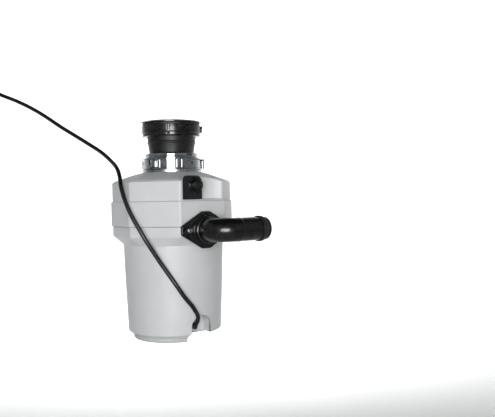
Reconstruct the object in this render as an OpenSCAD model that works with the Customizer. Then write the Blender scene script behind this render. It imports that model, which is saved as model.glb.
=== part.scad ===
// Kitchen waste disposer: sink mount, octagonal cover, round motor shell,
// two-bolt outlet with a bent discharge tube, dishwasher inlet, mains lead.
// Origin: centre of the sink opening, on the face the sink flange rests on.
// +Z up, +X out of the discharge outlet, +Y along the tail of the elbow.

/* [Body] */
// Corner-to-centre size of the octagonal upper cover
cover_r = 107; // [104:0.5:118]
// How far the seam band stands proud of the cover
band_proud = 2.5; // [1:0.5:4]
// Wall of the moulded covers
wall = 2.8; // [2:0.2:3.4]
// Radius of the round shell just under the octagon
shell_top_r = 89; // [87:0.5:98]
// Radius of the round shell at its lower edge
shell_bot_r = 83; // [82:0.5:86]
// Height of the round shell
shell_h = 151.5; // [146:0.5:190]
// Radius of the base cap
base_r = 74.5; // [72:0.5:78]

/* [Sink mount] */
// Radius of the sink flange lip
flange_r = 57.2; // [55:0.1:66]
// Radius of the flange sleeve in the sink opening
sleeve_r = 43.6; // [42:0.1:44]
// Thickness of the sink sheet that is clamped
sheet_t = 1.2; // [0.6:0.1:2]
// Height of the black clamp ring
clamp_h = 20; // [17:0.5:24]
// Radius of the clamp ring
clamp_r = 52.7; // [51:0.1:58]
// Radius of the twist lock ring without its ears
lock_r = 53; // [51:0.1:60]
// Height of the twist lock ring
lock_h = 19.9; // [16:0.1:22]

/* [Outlet] */
// Outside diameter of the discharge tube
tube_d = 40; // [38:0.5:46]
// Height of the outlet centre under the sink
outlet_drop = 187; // [186:0.5:190]
// Half the length of the two-bolt flange
flange_half = 48; // [44:0.5:52]
// Distance from the centre of the bend to the tube axis
bend_r = 30; // [28:0.5:36]
// Length of the straight tail after the bend
tail_len = 60; // [40:1:80]

/* [Drive] */
// Radius of the grinding turntable
table_r = 70; // [62:0.5:71]
// Radius of the drive shaft
shaft_r = 7; // [6:0.1:7.4]
// Radius of the rotor
rotor_r = 33.6; // [28:0.1:33.7]
// Length of the laminated core
core_h = 47; // [40:1:58]

/* [Lead] */
// Diameter of the mains lead
cord_d = 7.2; // [6:0.1:8]
// Radius of the lead gland
gland_r = 7; // [6.5:0.1:8.5]

/* [Hidden] */
$fn = 72;
// bearing angles of the octagon corners, as seen from above
corner = [-116.75, -73.25, -24.25, 24.25, 67.25, 111.25, 155.25, 199.25];
facet_x = cover_r * cos(24.25);
band_x = (cover_r + band_proud) * cos(24.25);
// levels, top to bottom
z_gasket = -sheet_t;
z_backup = z_gasket - 3;
z_clamp = z_backup - clamp_h;
z_neck = z_clamp - 29;
z_up = z_neck - 9.2;
z_guard = z_up - 3.6;
z_lock_t = z_up - 0.4;
z_lock = z_lock_t - lock_h;
z_collar = z_lock - 0.5;
z_cover = z_collar - 4.8;
z_brim = z_cover - 16.5;
z_band_t = z_cover - 50;
z_band_b = z_band_t - 43;
z_oct_b = z_band_b - 17;
z_shell_t = z_oct_b - 15.5;
z_shell_b = z_shell_t - shell_h;
z_rim = z_shell_b - 7;
z_base = z_rim - 7;
outlet_z = -outlet_drop;
z_table = z_cover - 72;
z_house = z_table - 8;
z_house_b = z_house - 46;
z_core_t = z_house_b - 30;
stator_r = 60;
stator_in = 34;
z_core_b = z_core_t - core_h;
z_can_b = z_shell_b + 41;
z_shaft_b = z_shell_b + 7;
// outside of the grinding chamber and of the discharge bowl
barrel_r = 77;
// tube route of the elbow
boss_x = band_x + 1.2;
gasket_x = boss_x + 2;
plate_x = gasket_x + 6;
tail_x = plate_x + 12 + bend_r;
tail_y = bend_r + tail_len;
tube_r = tube_d / 2;
tube_in = tube_r - 2.6;
// bay for the wiring, cut from the underside
bay_x = 12;
bay_y = -19;
arch_y = 2.5;
arch_r = 19.5;
arch_x = 58;
arch_z = z_shell_b + 32 - arch_r;
gland_y = -4;
gland_z = z_shell_b + 5.5;
inlet_y = -14;
inlet_z = z_cover - 24;
cord_r = cord_d / 2;
// points of the mains lead, from the gland to the plug
lead = [[74.36, -4, gland_z + 9.87], [76.6, -4, gland_z + 11.81], [79.4, -4.2, gland_z + 14.3],
    [82.8, -5, gland_z + 17.6], [86.4, -6.5, gland_z + 21.9], [88.8, -8.5, gland_z + 26.6],
    [90, -11.5, -327.8], [90.2, -16, -321], [90.6, -22, -313], [88.5, -32.5, -300], [85, -44, -282],
    [78.5, -54, -264], [72, -67, -242], [68, -79, -222], [64, -90, -203], [58, -98, -185],
    [49, -105, -166], [40, -110, -147], [31, -112.5, -128], [22, -112.5, -111], [10, -108.5, -95],
    [-8, -104.5, -80], [-33, -102.5, -67], [-64, -105.5, -50], [-95, -114, -34], [-128, -128, -15],
    [-160, -143, 4], [-193, -158, 25], [-225, -174, 44], [-258, -192, 61], [-292, -211, 76],
    [-322, -228, 92], [-345, -242, 112], [-358, -250, 138], [-362, -253, 168], [-362, -253, 200]];
plug = [-362, -253, 200];
plug_turn = 149.25;

module tube(r1, r2, z1, z2) {
    difference() {
        translate([0, 0, z1]) cylinder(r = r2, h = z2 - z1);
        translate([0, 0, z1 - 1]) cylinder(r = r1, h = z2 - z1 + 2);
    }
}

module oct_slab(r, z1, z2) {
    translate([0, 0, z1]) linear_extrude(height = z2 - z1)
        polygon([for (a = corner) [r * cos(a), r * sin(a)]]);
}

module xcyl(r, x1, x2, y, z) {
    translate([x1, y, z]) rotate([0, 90, 0]) cylinder(r = r, h = x2 - x1);
}

module ring_of(n, r, first) {
    for (i = [0:n - 1]) rotate([0, 0, first + i * 360 / n]) translate([r, 0, 0]) children();
}

// ---- sink mount ----
module sink_flange() {
    color("#c9ccce") difference() {
        rotate_extrude() polygon([[flange_r, 0], [flange_r, 1.1], [flange_r - 1.7, 2.4], [47, 2.4], [44.6, 1.2],
            [42.3, -3.4], [40.9, -10.4], [36.8, -22], [36.8, z_neck - 5], [38, z_neck - 5], [38, -22.2],
            [42.1, -10.6], [sleeve_r, -3.6], [sleeve_r, 0]]);
    }
}

module sink_gasket() {
    color("#2b2b2b") tube(sleeve_r, 51, z_backup, z_gasket);
}

module backup_flange() {
    color("#3a3c3e") tube(sleeve_r, 50, z_backup - 2, z_backup);
}

module clamp_ring() {
    color("#1b1c1d") difference() {
        rotate_extrude() polygon([[50, z_backup], [clamp_r - 0.6, z_backup], [clamp_r, z_backup - 0.6],
            [clamp_r, z_clamp + 7.2], [clamp_r - 1.2, z_clamp + 6], [clamp_r - 1.2, z_clamp + 1],
            [clamp_r - 2.2, z_clamp], [44.2, z_clamp], [44.2, z_backup - 2], [50, z_backup - 2]]);
        // keyhole slot and level slot for the tightening bar
        rotate([0, 0, -36]) translate([clamp_r - 3, -1.8, z_backup - 13]) cube([6, 3.6, 14]);
        rotate([0, 0, -36]) xcyl(3, clamp_r - 3, clamp_r + 3, 0, z_backup - 13);
        rotate([0, 0, -24]) translate([clamp_r - 3, -8, z_backup - 5]) cube([6, 14, 2.6]);
        for (a = [84, 204]) rotate([0, 0, a]) translate([clamp_r - 3, -8, z_backup - 5]) cube([6, 14, 2.6]);
        ring_of(3, 47.2, 20) translate([0, 0, z_clamp - 1]) cylinder(r = 2.5, h = clamp_h + 2);
        ring_of(3, 47.2, 20) translate([0, 0, z_clamp - 1]) cylinder(r = 2.95, h = 4);
    }
}

module clamp_screws() {
    color("#8e9194") ring_of(3, 47.2, 20) difference() {
        union() {
            translate([0, 0, z_clamp + 2]) cylinder(r = 2.5, h = clamp_h - 4);
            translate([0, 0, z_clamp + 0.4]) cylinder(r = 2.9, h = 2);
        }
        translate([-3, -0.5, z_clamp]) cube([6, 1, 1.6]);
    }
}

module ring_clip() {
    color("#161718") rotate([0, 0, 59]) difference() {
        translate([clamp_r, -7, z_clamp + 8]) cube([3.4, 14, clamp_h - 8.5]);
        translate([clamp_r + 2.2, -1.2, z_clamp + 7]) cube([3, 2.4, clamp_h]);
    }
}

module neck_sleeve() {
    color("#232425") rotate_extrude() polygon([[38, z_clamp + 1.2], [44.2, z_clamp + 1.2], [44.2, z_clamp],
        [42.75, z_clamp], [42.4, z_clamp - 8.4], [43.3, z_clamp - 9.2], [43.3, z_clamp - 10.8],
        [42.1, z_clamp - 11.8], [39.6, z_neck], [38, z_neck]]);
}

module snap_ring() {
    color("#b9bcc0") rotate_extrude() translate([39.25, z_neck - 2]) circle(r = 1.24, $fn = 24);
}

module upper_ring() {
    color("#d7dadd") difference() {
        rotate_extrude() polygon([[40.5, z_neck - 0.1], [45.4, z_neck - 0.1], [47, z_neck - 1.7], [47, z_neck - 6.4],
            [48.2, z_neck - 7.4], [48.2, z_up], [40.5, z_up]]);
        ring_of(3, 47.5, 10) translate([-3, -6, z_neck - 5.4]) cube([8, 12, 2.6]);
    }
}

module splash_guard() {
    color("#202122") difference() {
        rotate_extrude() polygon([[38.3, z_up], [45.9, z_up], [45.9, z_guard], [38.6, z_guard],
            [38.2, z_guard - 3], [8, z_guard - 9.6], [8, z_guard - 8], [36, z_guard - 0.6]]);
        for (i = [0:7]) rotate([0, 0, i * 45]) translate([7, -0.6, z_guard - 14]) cube([25, 1.2, 14]);
    }
}

module lock_ring() {
    color("#d7dadd") difference() {
        union() {
            rotate_extrude() polygon([[46.4, z_lock], [lock_r - 0.6, z_lock], [lock_r, z_lock + 0.6],
                [lock_r, z_lock + 3], [lock_r - 1.2, z_lock + 3.6], [lock_r - 1.2, z_lock_t - 3.2],
                [lock_r, z_lock_t - 2.6], [lock_r, z_lock_t - 0.6], [lock_r - 0.6, z_lock_t],
                [46.4, z_lock_t]]);
            // raised ribs between the ramps
            for (a = [-36, 84, 204]) rotate([0, 0, a]) translate([lock_r - 2.2, -2.6, z_lock + 1])
                cube([2.6, 5.2, lock_h - 2]);
            for (a = [-19, 101, 221]) rotate([0, 0, a]) translate([lock_r - 2.2, -1.4, z_lock + 1])
                cube([2.4, 2.8, lock_h - 2]);
        }
        // ramp slots that the upper ring's tabs climb
        for (a = [2, 122, 242]) rotate([0, 0, a]) translate([lock_r - 2.6, -8, z_lock_t - 9.5])
            cube([4, 16, 3.4]);
        for (a = [-57, 63, 183]) rotate([0, 0, a]) translate([lock_r - 2.6, -5, z_lock + 5])
            cube([4, 10, 9]);
    }
}

module lock_ears() {
    color("#d7dadd") {
        // rolled tube ear
        rotate([0, 0, 59]) difference() {
            union() {
                difference() {
                    translate([lock_r + 2, 0, z_lock + 1]) cylinder(r = 3.4, h = lock_h - 2, $fn = 36);
                    translate([0, 0, z_lock]) cylinder(r = lock_r, h = lock_h);
                }
                translate([lock_r - 1.1, -3.4, z_lock + 3.8]) cube([3, 6.8, lock_h - 7.6]);
            }
            translate([lock_r + 2, 0, z_lock]) cylinder(r = 2.2, h = lock_h, $fn = 36);
            translate([0, 0, z_lock - 1]) cylinder(r = lock_r - 1.2, h = lock_h + 2);
        }
        for (a = [179, -66]) rotate([0, 0, a]) difference() {
            translate([lock_r - 4, -6.5, z_lock + 3.8]) cube([8, 13, lock_h - 7.6]);
            translate([0, 0, z_lock - 1]) cylinder(r = lock_r - 1.2, h = lock_h + 2);
            translate([lock_r + 1.4, -5, z_lock + 5]) cube([4, 10, lock_h - 9]);
        }
    }
}

// ---- grinding chamber and drive ----
module chamber_collar() {
    color("#a9adb0") rotate_extrude() polygon([[39.6, z_guard], [46.32, z_guard], [46.32, z_collar],
        [53.5, z_collar], [53.5, z_cover], [46.5, z_cover], [46.5, z_cover - 7], [39.6, z_cover - 7]]);
}

module chamber_cone() {
    color("#a9adb0") difference() {
        rotate_extrude() polygon([[39.6, z_cover - 7], [46.5, z_cover - 7], [barrel_r, z_cover - 25],
            [barrel_r, z_cover - 27], [74.2, z_cover - 27]]);
        xcyl(8, 60, 90, inlet_y, inlet_z);
    }
}

module grind_chamber() {
    color("#a9adb0") difference() {
        union() {
            tube(74.2, barrel_r, z_house, z_cover - 27);
            difference() {
                tube(barrel_r - 0.5, 86, z_house, z_house + 4);
                xcyl(22.55, 60, 100, 0, outlet_z);
            }
        }
        xcyl(8, 60, 90, inlet_y, inlet_z);
        ring_of(4, 82.5, 45) translate([0, 0, z_house - 1]) cylinder(r = 2.2, h = 8, $fn = 24);
    }
}

module sound_liner() {
    color("#dfe0dd") difference() {
        tube(barrel_r, 91, z_house + 12, z_cover - 27);
        recess(wall + 0.4);
        xcyl(9, 60, 100, inlet_y, inlet_z);
    }
}

module grind_ring() {
    color("#b4b7ba") difference() {
        tube(table_r + 1.2, 74.1, z_table - 5, z_table + 24);
        ring_of(12, table_r + 1, 7) translate([-1, -3, z_table + 3]) cube([2.6, 6, 24]);
        ring_of(12, table_r + 1, 22) translate([-1, -1.5, z_table - 6]) cube([2.6, 3, 16]);
    }
}

module turntable() {
    color("#b4b7ba") difference() {
        union() {
            tube(shaft_r, table_r, z_table - 3, z_table);
            tube(shaft_r, 15, z_table - 9, z_table - 2);
        }
        for (x = [-46, 46]) translate([x, 0, z_table - 4]) cylinder(r = 4, h = 6);
        for (i = [0:5]) rotate([0, 0, 15 + i * 60]) translate([58, 0, z_table - 5]) cylinder(r = 3, h = 8, $fn = 24);
    }
}

module lug(x, a) {
    translate([x, 0, z_table]) rotate([0, 0, a]) difference() {
        union() {
            translate([0, 0, 0.3]) cylinder(r = 9, h = 5);
            translate([-6, -7, 0.3]) cube([24, 14, 5]);
            translate([9, -7, 0.3]) cube([9, 14, 14]);
        }
        translate([0, 0, -1]) cylinder(r = 4.05, h = 8);
    }
}

module impeller_a() {
    color("#8f9396") lug(46, 8);
}

module impeller_b() {
    color("#8f9396") lug(-46, 188);
}

module impeller_pins() {
    color("#7e8285") for (x = [-46, 46]) {
        translate([x, 0, z_table - 3]) cylinder(r = 4, h = 8.8);
        translate([x, 0, z_table + 5.8]) cylinder(r = 6.5, h = 1.8);
    }
}

module shaft_nut() {
    color("#8f9396") difference() {
        translate([0, 0, z_table]) cylinder(r = 12, h = 7, $fn = 6);
        translate([0, 0, z_table - 1]) cylinder(r = shaft_r, h = 9);
    }
}

module shaft() {
    color("#8b8f92") difference() {
        translate([0, 0, z_shaft_b]) cylinder(r = shaft_r, h = z_table + 9 - z_shaft_b);
        translate([0, 0, z_shaft_b - 1]) cylinder(r = 3.65, h = 11, $fn = 6);
    }
}

module shaft_seal() {
    color("#26221f") tube(shaft_r + 0.08, 12, z_house_b + 15, z_house_b + 20);
}

module upper_bearing() {
    color("#a8ABAE") tube(shaft_r + 0.05, 16, z_house_b + 2, z_house_b + 13);
}

module lower_bearing() {
    color("#a8abae") tube(shaft_r + 0.05, 14, z_can_b - 10, z_can_b + 2);
}

module discharge_housing() {
    color("#9ea2a5") difference() {
        union() {
            tube(74.2, barrel_r, z_house_b, z_house);
            difference() {
                tube(barrel_r - 0.5, 86, z_house - 4, z_house);
                xcyl(22.55, 60, 100, 0, outlet_z);
            }
        }
        xcyl(tube_in, 60, boss_x + 1, 0, outlet_z);
        ring_of(4, 82.5, 45) translate([0, 0, z_house - 5]) cylinder(r = 2.2, h = 8, $fn = 24);
    }
}

module discharge_floor() {
    color("#9ea2a5") difference() {
        union() {
            translate([0, 0, z_house_b]) cylinder(r = 74.2, h = 4);
            translate([0, 0, z_house_b]) cylinder(r = 20, h = 20);
        }
        translate([0, 0, z_house_b - 1]) cylinder(r = 16, h = 14);
        translate([0, 0, z_house_b + 5]) cylinder(r = 12, h = 30);
    }
}

module discharge_spout() {
    color("#9ea2a5") difference() {
        xcyl(22.5, 60, boss_x, 0, outlet_z);
        translate([0, 0, z_house_b - 5]) cylinder(r = barrel_r, h = 70);
        xcyl(tube_in, 59, boss_x + 1, 0, outlet_z);
    }
}

module body_bolts() {
    color("#8b8f92") ring_of(4, 82.5, 45) {
        translate([0, 0, z_house - 6]) cylinder(r = 2.2, h = 10, $fn = 24);
        translate([0, 0, z_house + 4]) cylinder(r = 3.4, h = 3, $fn = 6);
    }
}

module motor_can() {
    color("#8a8d8f") tube(stator_r, stator_r + 1.6, z_can_b, z_house_b);
}

module stator_core() {
    color("#6f7376") difference() {
        tube(stator_in, stator_r, z_core_b, z_core_t);
        for (i = [0:17]) rotate([0, 0, i * 20]) translate([stator_in - 1, -1.8, z_core_b - 1]) cube([15, 3.6, core_h + 2]);
    }
}

module stator_coils() {
    color("#9c5a2c") for (z = [z_core_t, z_core_b - 12]) translate([0, 0, z])
        rotate_extrude() polygon([[40, 0], [38, 3], [39, 10], [42, 12], [49, 12], [53, 9], [54, 3], [52, 0]]);
}

module rotor_core() {
    color("#7b7f82") {
        tube(shaft_r, rotor_r, z_core_b, z_core_t);
        tube(22, rotor_r - 1.6, z_core_t, z_core_t + 6);
        tube(22, rotor_r - 1.6, z_core_b - 6, z_core_b);
    }
}

module end_frame() {
    color("#9ea2a5") difference() {
        union() {
            translate([0, 0, z_can_b - 4]) cylinder(r = stator_r + 1.6, h = 4);
            translate([0, 0, z_can_b - 10]) cylinder(r = 20, h = 14);
        }
        translate([0, 0, z_can_b - 11]) cylinder(r = 14, h = 13);
        translate([0, 0, z_can_b - 11]) cylinder(r = 9, h = 20);
        ring_of(4, 56.5, 45) translate([0, 0, z_can_b - 5]) cylinder(r = 2, h = 8, $fn = 24);
    }
}

module frame_screws() {
    color("#8b8f92") ring_of(4, 56.5, 45) {
        translate([0, 0, z_can_b - 4]) cylinder(r = 2, h = z_core_b - z_can_b + 4, $fn = 24);
        translate([0, 0, z_can_b - 6.5]) cylinder(r = 3.6, h = 2.5, $fn = 24);
    }
}

// ---- covers ----
module recess(grow) {
    // scooped pocket in the outlet facet, over the dishwasher inlet
    translate([facet_x + 48, 0, z_band_t + 2 - grow]) cylinder(r = 62 + grow, h = 46 + grow);
}

module cover_solid(r, t) {
    hull() {
        translate([0, 0, z_cover - 0.5 - t]) cylinder(r = 57 - t, h = 0.5);
        oct_slab(r * 0.82, z_cover - 8 - t, z_cover - 7.5 - t);
        oct_slab(r, z_brim - 1 - t, z_brim - t);
    }
    oct_slab(r, z_band_t, z_brim - t);
}

module upper_cover() {
    color("#cfd0d0") difference() {
        cover_solid(cover_r, 0);
        difference() {
            cover_solid(cover_r - wall, wall);
            recess(wall);
        }
        oct_slab(cover_r - wall, z_band_t - 1, z_band_t + 2 - wall);
        recess(0);
        translate([0, 0, z_cover - 10]) cylinder(r = 49, h = 12);
        xcyl(8.4, 60, facet_x + 12, inlet_y, inlet_z);
    }
}

module seam_band() {
    color("#cfd0d0") difference() {
        oct_slab(cover_r + band_proud, z_band_b, z_band_t - 0.01);
        oct_slab(cover_r - wall, z_band_b - 1, z_band_t + 1);
        xcyl(23.2, 60, band_x + 20, 0, outlet_z);
    }
}

module lower_shell() {
    color("#cfd0d0") difference() {
        union() {
            difference() {
                union() {
                    oct_slab(cover_r, z_oct_b, z_band_b);
                    hull() {
                        oct_slab(cover_r, z_oct_b, z_oct_b + 0.5);
                        translate([0, 0, z_shell_t]) cylinder(r = shell_top_r, h = 0.5);
                    }
                    translate([0, 0, z_shell_b]) cylinder(r1 = shell_bot_r, r2 = shell_top_r, h = shell_h);
                    translate([0, 0, z_rim]) cylinder(r1 = base_r, r2 = shell_bot_r, h = 7);
                }
                oct_slab(cover_r - wall, z_oct_b - 0.5, z_band_b + 1);
                hull() {
                    oct_slab(cover_r - wall, z_oct_b - 0.5, z_oct_b);
                    translate([0, 0, z_shell_t]) cylinder(r = shell_top_r - wall, h = 0.5);
                }
                translate([0, 0, z_shell_b]) cylinder(r1 = shell_bot_r - wall, r2 = shell_top_r - wall,
                    h = shell_h + 0.2);
                translate([0, 0, z_rim - 0.1]) cylinder(r1 = base_r - wall, r2 = shell_bot_r - wall, h = 7.2);
            }
            // walls of the arched pocket for the lead
            intersection() {
                translate([0, 0, z_shell_b]) cylinder(r1 = shell_bot_r + 0.8, r2 = shell_top_r + 0.8, h = shell_h);
                arch(2.4, arch_x - 2.4, z_shell_b - 1);
            }
        }
        arch(0, arch_x, z_rim - 10);
        translate([bay_x, bay_y, z_rim - 10]) cube([90, 110, 9 + 7]);
        xcyl(23.2, 60, band_x + 20, 0, outlet_z);
        for (y = [-33.5, 33.5]) xcyl(2.6, 60, band_x + 20, y, outlet_z);
        xcyl(gland_r - 2.4, 50, 60, gland_y, gland_z);
    }
}

module arch(grow, x, z) {
    translate([x, arch_y - arch_r - grow, z]) cube([60, 2 * (arch_r + grow), arch_z - z]);
    xcyl(arch_r + grow, x, x + 60, arch_y, arch_z);
}

module base_cap() {
    color("#8f9190") difference() {
        union() {
            difference() {
                translate([0, 0, z_base]) cylinder(r1 = base_r - 1.5, r2 = base_r, h = 2);
                translate([bay_x, bay_y, z_base - 1]) cube([90, 110, 20]);
            }
            difference() {
                translate([0, 0, z_base + 2]) cylinder(r = base_r, h = z_rim - z_base - 2);
                translate([0, 0, z_base + 3]) cylinder(r = base_r - 3, h = 20);
                translate([bay_x, bay_y, z_base - 1]) cube([90, 110, 20]);
            }
            // inner walls along the wiring bay
            intersection() {
                translate([0, 0, z_base]) cylinder(r = base_r - 3, h = 12);
                union() {
                    translate([bay_x - 2.4, bay_y - 2.4, z_base]) cube([2.4, 110, 12]);
                    translate([bay_x - 2.4, bay_y - 2.4, z_base]) cube([90, 2.4, 12]);
                }
            }
        }
        translate([0, 0, z_base - 1]) cylinder(r = 7, h = 30);
        translate([-47, 0, z_base - 1]) cylinder(r = 5.3, h = 10);
        for (a = [120, 160, 200, 240]) rotate([0, 0, a]) for (x = [22, 30, 60])
            translate([x, 0, z_base - 1]) cylinder(r = 2, h = 8, $fn = 12);
    }
}

module terminal_plate() {
    color("#b9bcbe") difference() {
        translate([0, 0, z_shell_b + 0.2]) cylinder(r = shell_bot_r - wall, h = 1.6);
        difference() {
            translate([-100, -100, z_shell_b - 1]) cube([200, 200, 5]);
            translate([bay_x, bay_y, z_shell_b - 2]) cube([90, 110, 7]);
        }
        arch(2.4, arch_x - 2.4, z_shell_b - 5);
        // clear of the gland and its nut
        translate([arch_x - 9, gland_y - gland_r - 1.5, z_shell_b - 1]) cube([40, 2 * gland_r + 3, 5]);
        translate([34, 34, z_shell_b - 2]) cylinder(r = 2.1, h = 6);
    }
}

module terminal_screw() {
    color("#5c8a4a") difference() {
        union() {
            translate([34, 34, z_shell_b - 2.2]) cylinder(r = 4, h = 2.4);
            translate([34, 34, z_shell_b]) cylinder(r = 2.1, h = 8);
        }
        translate([29, 33.5, z_shell_b - 3]) cube([10, 1, 1.8]);
    }
}

module overload_switch() {
    color("#2a2b2c") difference() {
        translate([-60, -13, z_base + 3]) cube([26, 26, 17]);
        translate([-47, 0, z_base]) cylinder(r = 8.4, h = 11);
    }
}

module reset_button() {
    color("#b3261e") {
        translate([-47, 0, z_base + 0.4]) cylinder(r = 5.2, h = 6);
        translate([-47, 0, z_base + 3.4]) cylinder(r = 7.6, h = 3);
    }
}

// ---- dishwasher inlet ----
module inlet_block() {
    color("#1d1e1f") difference() {
        intersection() {
            translate([facet_x - 20, -40, z_band_t + 2.1]) cube([19.8, 40, 40]);
            union() {
                translate([facet_x - 30, -40, z_band_t]) cube([40, 40, 34]);
                translate([facet_x - 30, -32, z_band_t]) cube([40, 24, 44]);
                xcyl(8, facet_x - 30, facet_x + 10, -32, z_band_t + 34);
                xcyl(8, facet_x - 30, facet_x + 10, -8, z_band_t + 34);
            }
            recess(-0.3);
        }
        xcyl(8.1, 60, facet_x + 12, inlet_y, inlet_z);
    }
}

module inlet_spigot() {
    color("#1d1e1f") difference() {
        union() {
            xcyl(8, barrel_r - 3.5, facet_x + 8, inlet_y, inlet_z);
            xcyl(13.5, facet_x - 0.2, facet_x + 2.6, inlet_y, inlet_z);
        }
        xcyl(6, 60, facet_x + 9, inlet_y, inlet_z);
    }
}

module inlet_cap() {
    color("#161718") difference() {
        union() {
            xcyl(9.6, facet_x + 2.9, facet_x + 10.2, inlet_y, inlet_z);
            xcyl(8.4, facet_x + 10, facet_x + 11.4, inlet_y, inlet_z);
        }
        xcyl(8.05, facet_x + 1, facet_x + 8.3, inlet_y, inlet_z);
    }
}

// ---- outlet ----
module outlet_outline(half, high, tip, top) {
    polygon([[-half, -tip], [-top, -high], [top, -high], [half, -tip], [half, tip], [top, high],
        [-top, high], [-half, tip]]);
}

module outlet_gasket() {
    color("#2b2b2b") translate([boss_x, 0, outlet_z]) rotate([90, 0, 90]) linear_extrude(height = 2)
        difference() {
            outlet_outline(flange_half - 4, 28, 6, 7);
            circle(r = tube_in);
            for (y = [-33.5, 33.5]) translate([y, 0]) circle(r = 2.6, $fn = 24);
        }
}

module outlet_flange() {
    color("#18191a") difference() {
        union() {
            translate([gasket_x, 0, outlet_z]) rotate([90, 0, 90]) linear_extrude(height = 5)
                outlet_outline(flange_half, 31, 7.5, 8);
            xcyl(25.5, gasket_x + 1, plate_x, 0, outlet_z);
        }
        xcyl(23.5, gasket_x - 1, gasket_x + 3, 0, outlet_z);
        xcyl(tube_r + 0.06, gasket_x - 1, plate_x + 9, 0, outlet_z);
        for (y = [-33.5, 33.5]) xcyl(2.6, gasket_x - 1, plate_x + 4, y, outlet_z);
    }
}

module flange_bolts() {
    color("#a5a8ab") for (y = [-33.5, 33.5]) difference() {
        union() {
            xcyl(2.6, boss_x - 8, gasket_x + 5.5, y, outlet_z);
            translate([gasket_x + 5, y, outlet_z]) rotate([0, 90, 0]) cylinder(r = 4.8, h = 3.4, $fn = 6);
        }
        translate([gasket_x + 7.4, y - 0.6, outlet_z - 5]) cube([2, 1.2, 10]);
    }
}

module pipe(r1, r2, h) {
    difference() {
        cylinder(r = r2, h = h);
        translate([0, 0, -1]) cylinder(r = r1, h = h + 2);
    }
}

module elbow() {
    color("#141516") {
        translate([gasket_x + 0.3, 0, outlet_z]) rotate([0, 90, 0]) {
            pipe(tube_in, tube_r, plate_x + 11.7 - gasket_x);
            pipe(tube_r, 23.3, 2.4);
            translate([0, 0, 6]) pipe(tube_r, 23, 4.7);
        }
        translate([plate_x + 12, bend_r, outlet_z]) rotate([0, 0, -90]) rotate_extrude(angle = 90)
            translate([bend_r, 0]) difference() {
                circle(r = tube_r);
                circle(r = tube_in);
            }
        translate([tail_x, bend_r, outlet_z]) rotate([-90, 0, 0]) {
            pipe(tube_in, tube_r, tail_len - 8);
            translate([0, 0, tail_len - 8]) pipe(tube_in, tube_r - 0.3, 8);
        }
    }
}

module tail_ring() {
    color("#1a1b1c") translate([tail_x, tail_y - 17, outlet_z]) rotate([-90, 0, 0]) difference() {
        rotate_extrude() polygon([[tube_r, 0], [tube_r + 1.6, 0.8], [tube_r + 2, 4], [tube_r + 1.2, 8],
            [tube_r, 9]]);
    }
}

// ---- mains lead ----
module gland_axis() {
    // the gland leans outward and up, in line with the start of the lead
    translate([arch_x + 5, gland_y, gland_z]) rotate([0, 49, 0]) children();
}

module gland_body() {
    color("#c2c4c5") difference() {
        union() {
            xcyl(gland_r - 2.4, arch_x - 6, arch_x + 5, gland_y, gland_z);
            gland_axis() {
                translate([0, 0, -1]) cylinder(r = gland_r - 0.8, h = 9);
                translate([0, 0, 0.5]) cylinder(r = gland_r, h = 4.5, $fn = 6);
            }
        }
        xcyl(3, arch_x - 8, arch_x + 2, gland_y, gland_z);
    }
}

module gland_nut() {
    color("#c2c4c5") translate([arch_x - 6, gland_y, gland_z]) rotate([0, 90, 0]) difference() {
        cylinder(r = gland_r, h = 3.6, $fn = 6);
        translate([0, 0, -1]) cylinder(r = gland_r - 2.4, h = 6);
    }
}

module gland_boot() {
    color("#19191a") gland_axis() translate([0, 0, 8]) rotate_extrude()
        polygon([[0, 0], [gland_r - 0.8, 0], [gland_r - 0.8, 1.5], [cord_r + 1.7, 3.2], [cord_r + 0.8, 7], [0, 7]]);
}

function smooth(p, i, t) =
    let (a = p[max(i - 1, 0)], b = p[i], c = p[min(i + 1, len(p) - 1)], d = p[min(i + 2, len(p) - 1)])
    0.5 * ((2 * b) + (c - a) * t + (2 * a - 5 * b + 4 * c - d) * t * t + (3 * b - a - 3 * c + d) * t * t * t);

lead_path = concat([for (i = [0:len(lead) - 2], t = [0, 0.5]) smooth(lead, i, t)], [lead[len(lead) - 1]]);
function unit(v) = v / norm(v);
function heading(p, i) = unit(p[min(i + 1, len(p) - 1)] - p[max(i - 1, 0)]);
// a side vector carried along the path, so that the rings never twist
function carry(p, i, s) = let (h = heading(p, i), q = unit(s - (s * h) * h))
    i == len(p) - 1 ? [q] : concat([q], carry(p, i + 1, q));

module swept(p, r, n) {
    side = carry(p, 0, [0, 1, 0]);
    pts = [for (i = [0:len(p) - 1], k = [0:n - 1])
        let (u = side[i], w = cross(heading(p, i), u), a = k * 360 / n)
        p[i] + r * (cos(a) * u + sin(a) * w)];
    m = len(p);
    sides = [for (i = [0:m - 2], k = [0:n - 1])
        [i * n + k, i * n + (k + 1) % n, (i + 1) * n + (k + 1) % n, (i + 1) * n + k]];
    polyhedron(points = pts, faces = concat(sides, [[for (k = [n - 1:-1:0]) k]],
        [[for (k = [0:n - 1]) (m - 1) * n + k]]), convexity = 8);
}

module power_cord() {
    color("#1a1a1b") swept(lead_path, cord_r, 10);
}

module at_plug() {
    translate(plug) rotate([0, 0, plug_turn]) children();
}

module plug_body() {
    color("#1c1c1d") at_plug() difference() {
        union() {
            translate([-7, -25, 8]) cube([14, 50, 40]);
            translate([-7, -17, 2]) cube([14, 34, 7]);
            translate([0, 0, 0]) cylinder(r = 6, h = 3);
        }
        translate([0, 0, 4]) translate([4, -8, 16]) cube([4, 16, 10]);
        for (y = [-11.1, 11.1]) translate([6, y - 3.15, 13.85]) cube([2, 6.3, 3.9]);
    }
}

module plug_cover() {
    color("#242425") at_plug() difference() {
        translate([-13, -23, 10]) cube([6, 46, 36]);
        translate([-14, 0, 33]) rotate([0, 90, 0]) cylinder(r = 4.2, h = 5);
    }
}

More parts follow.
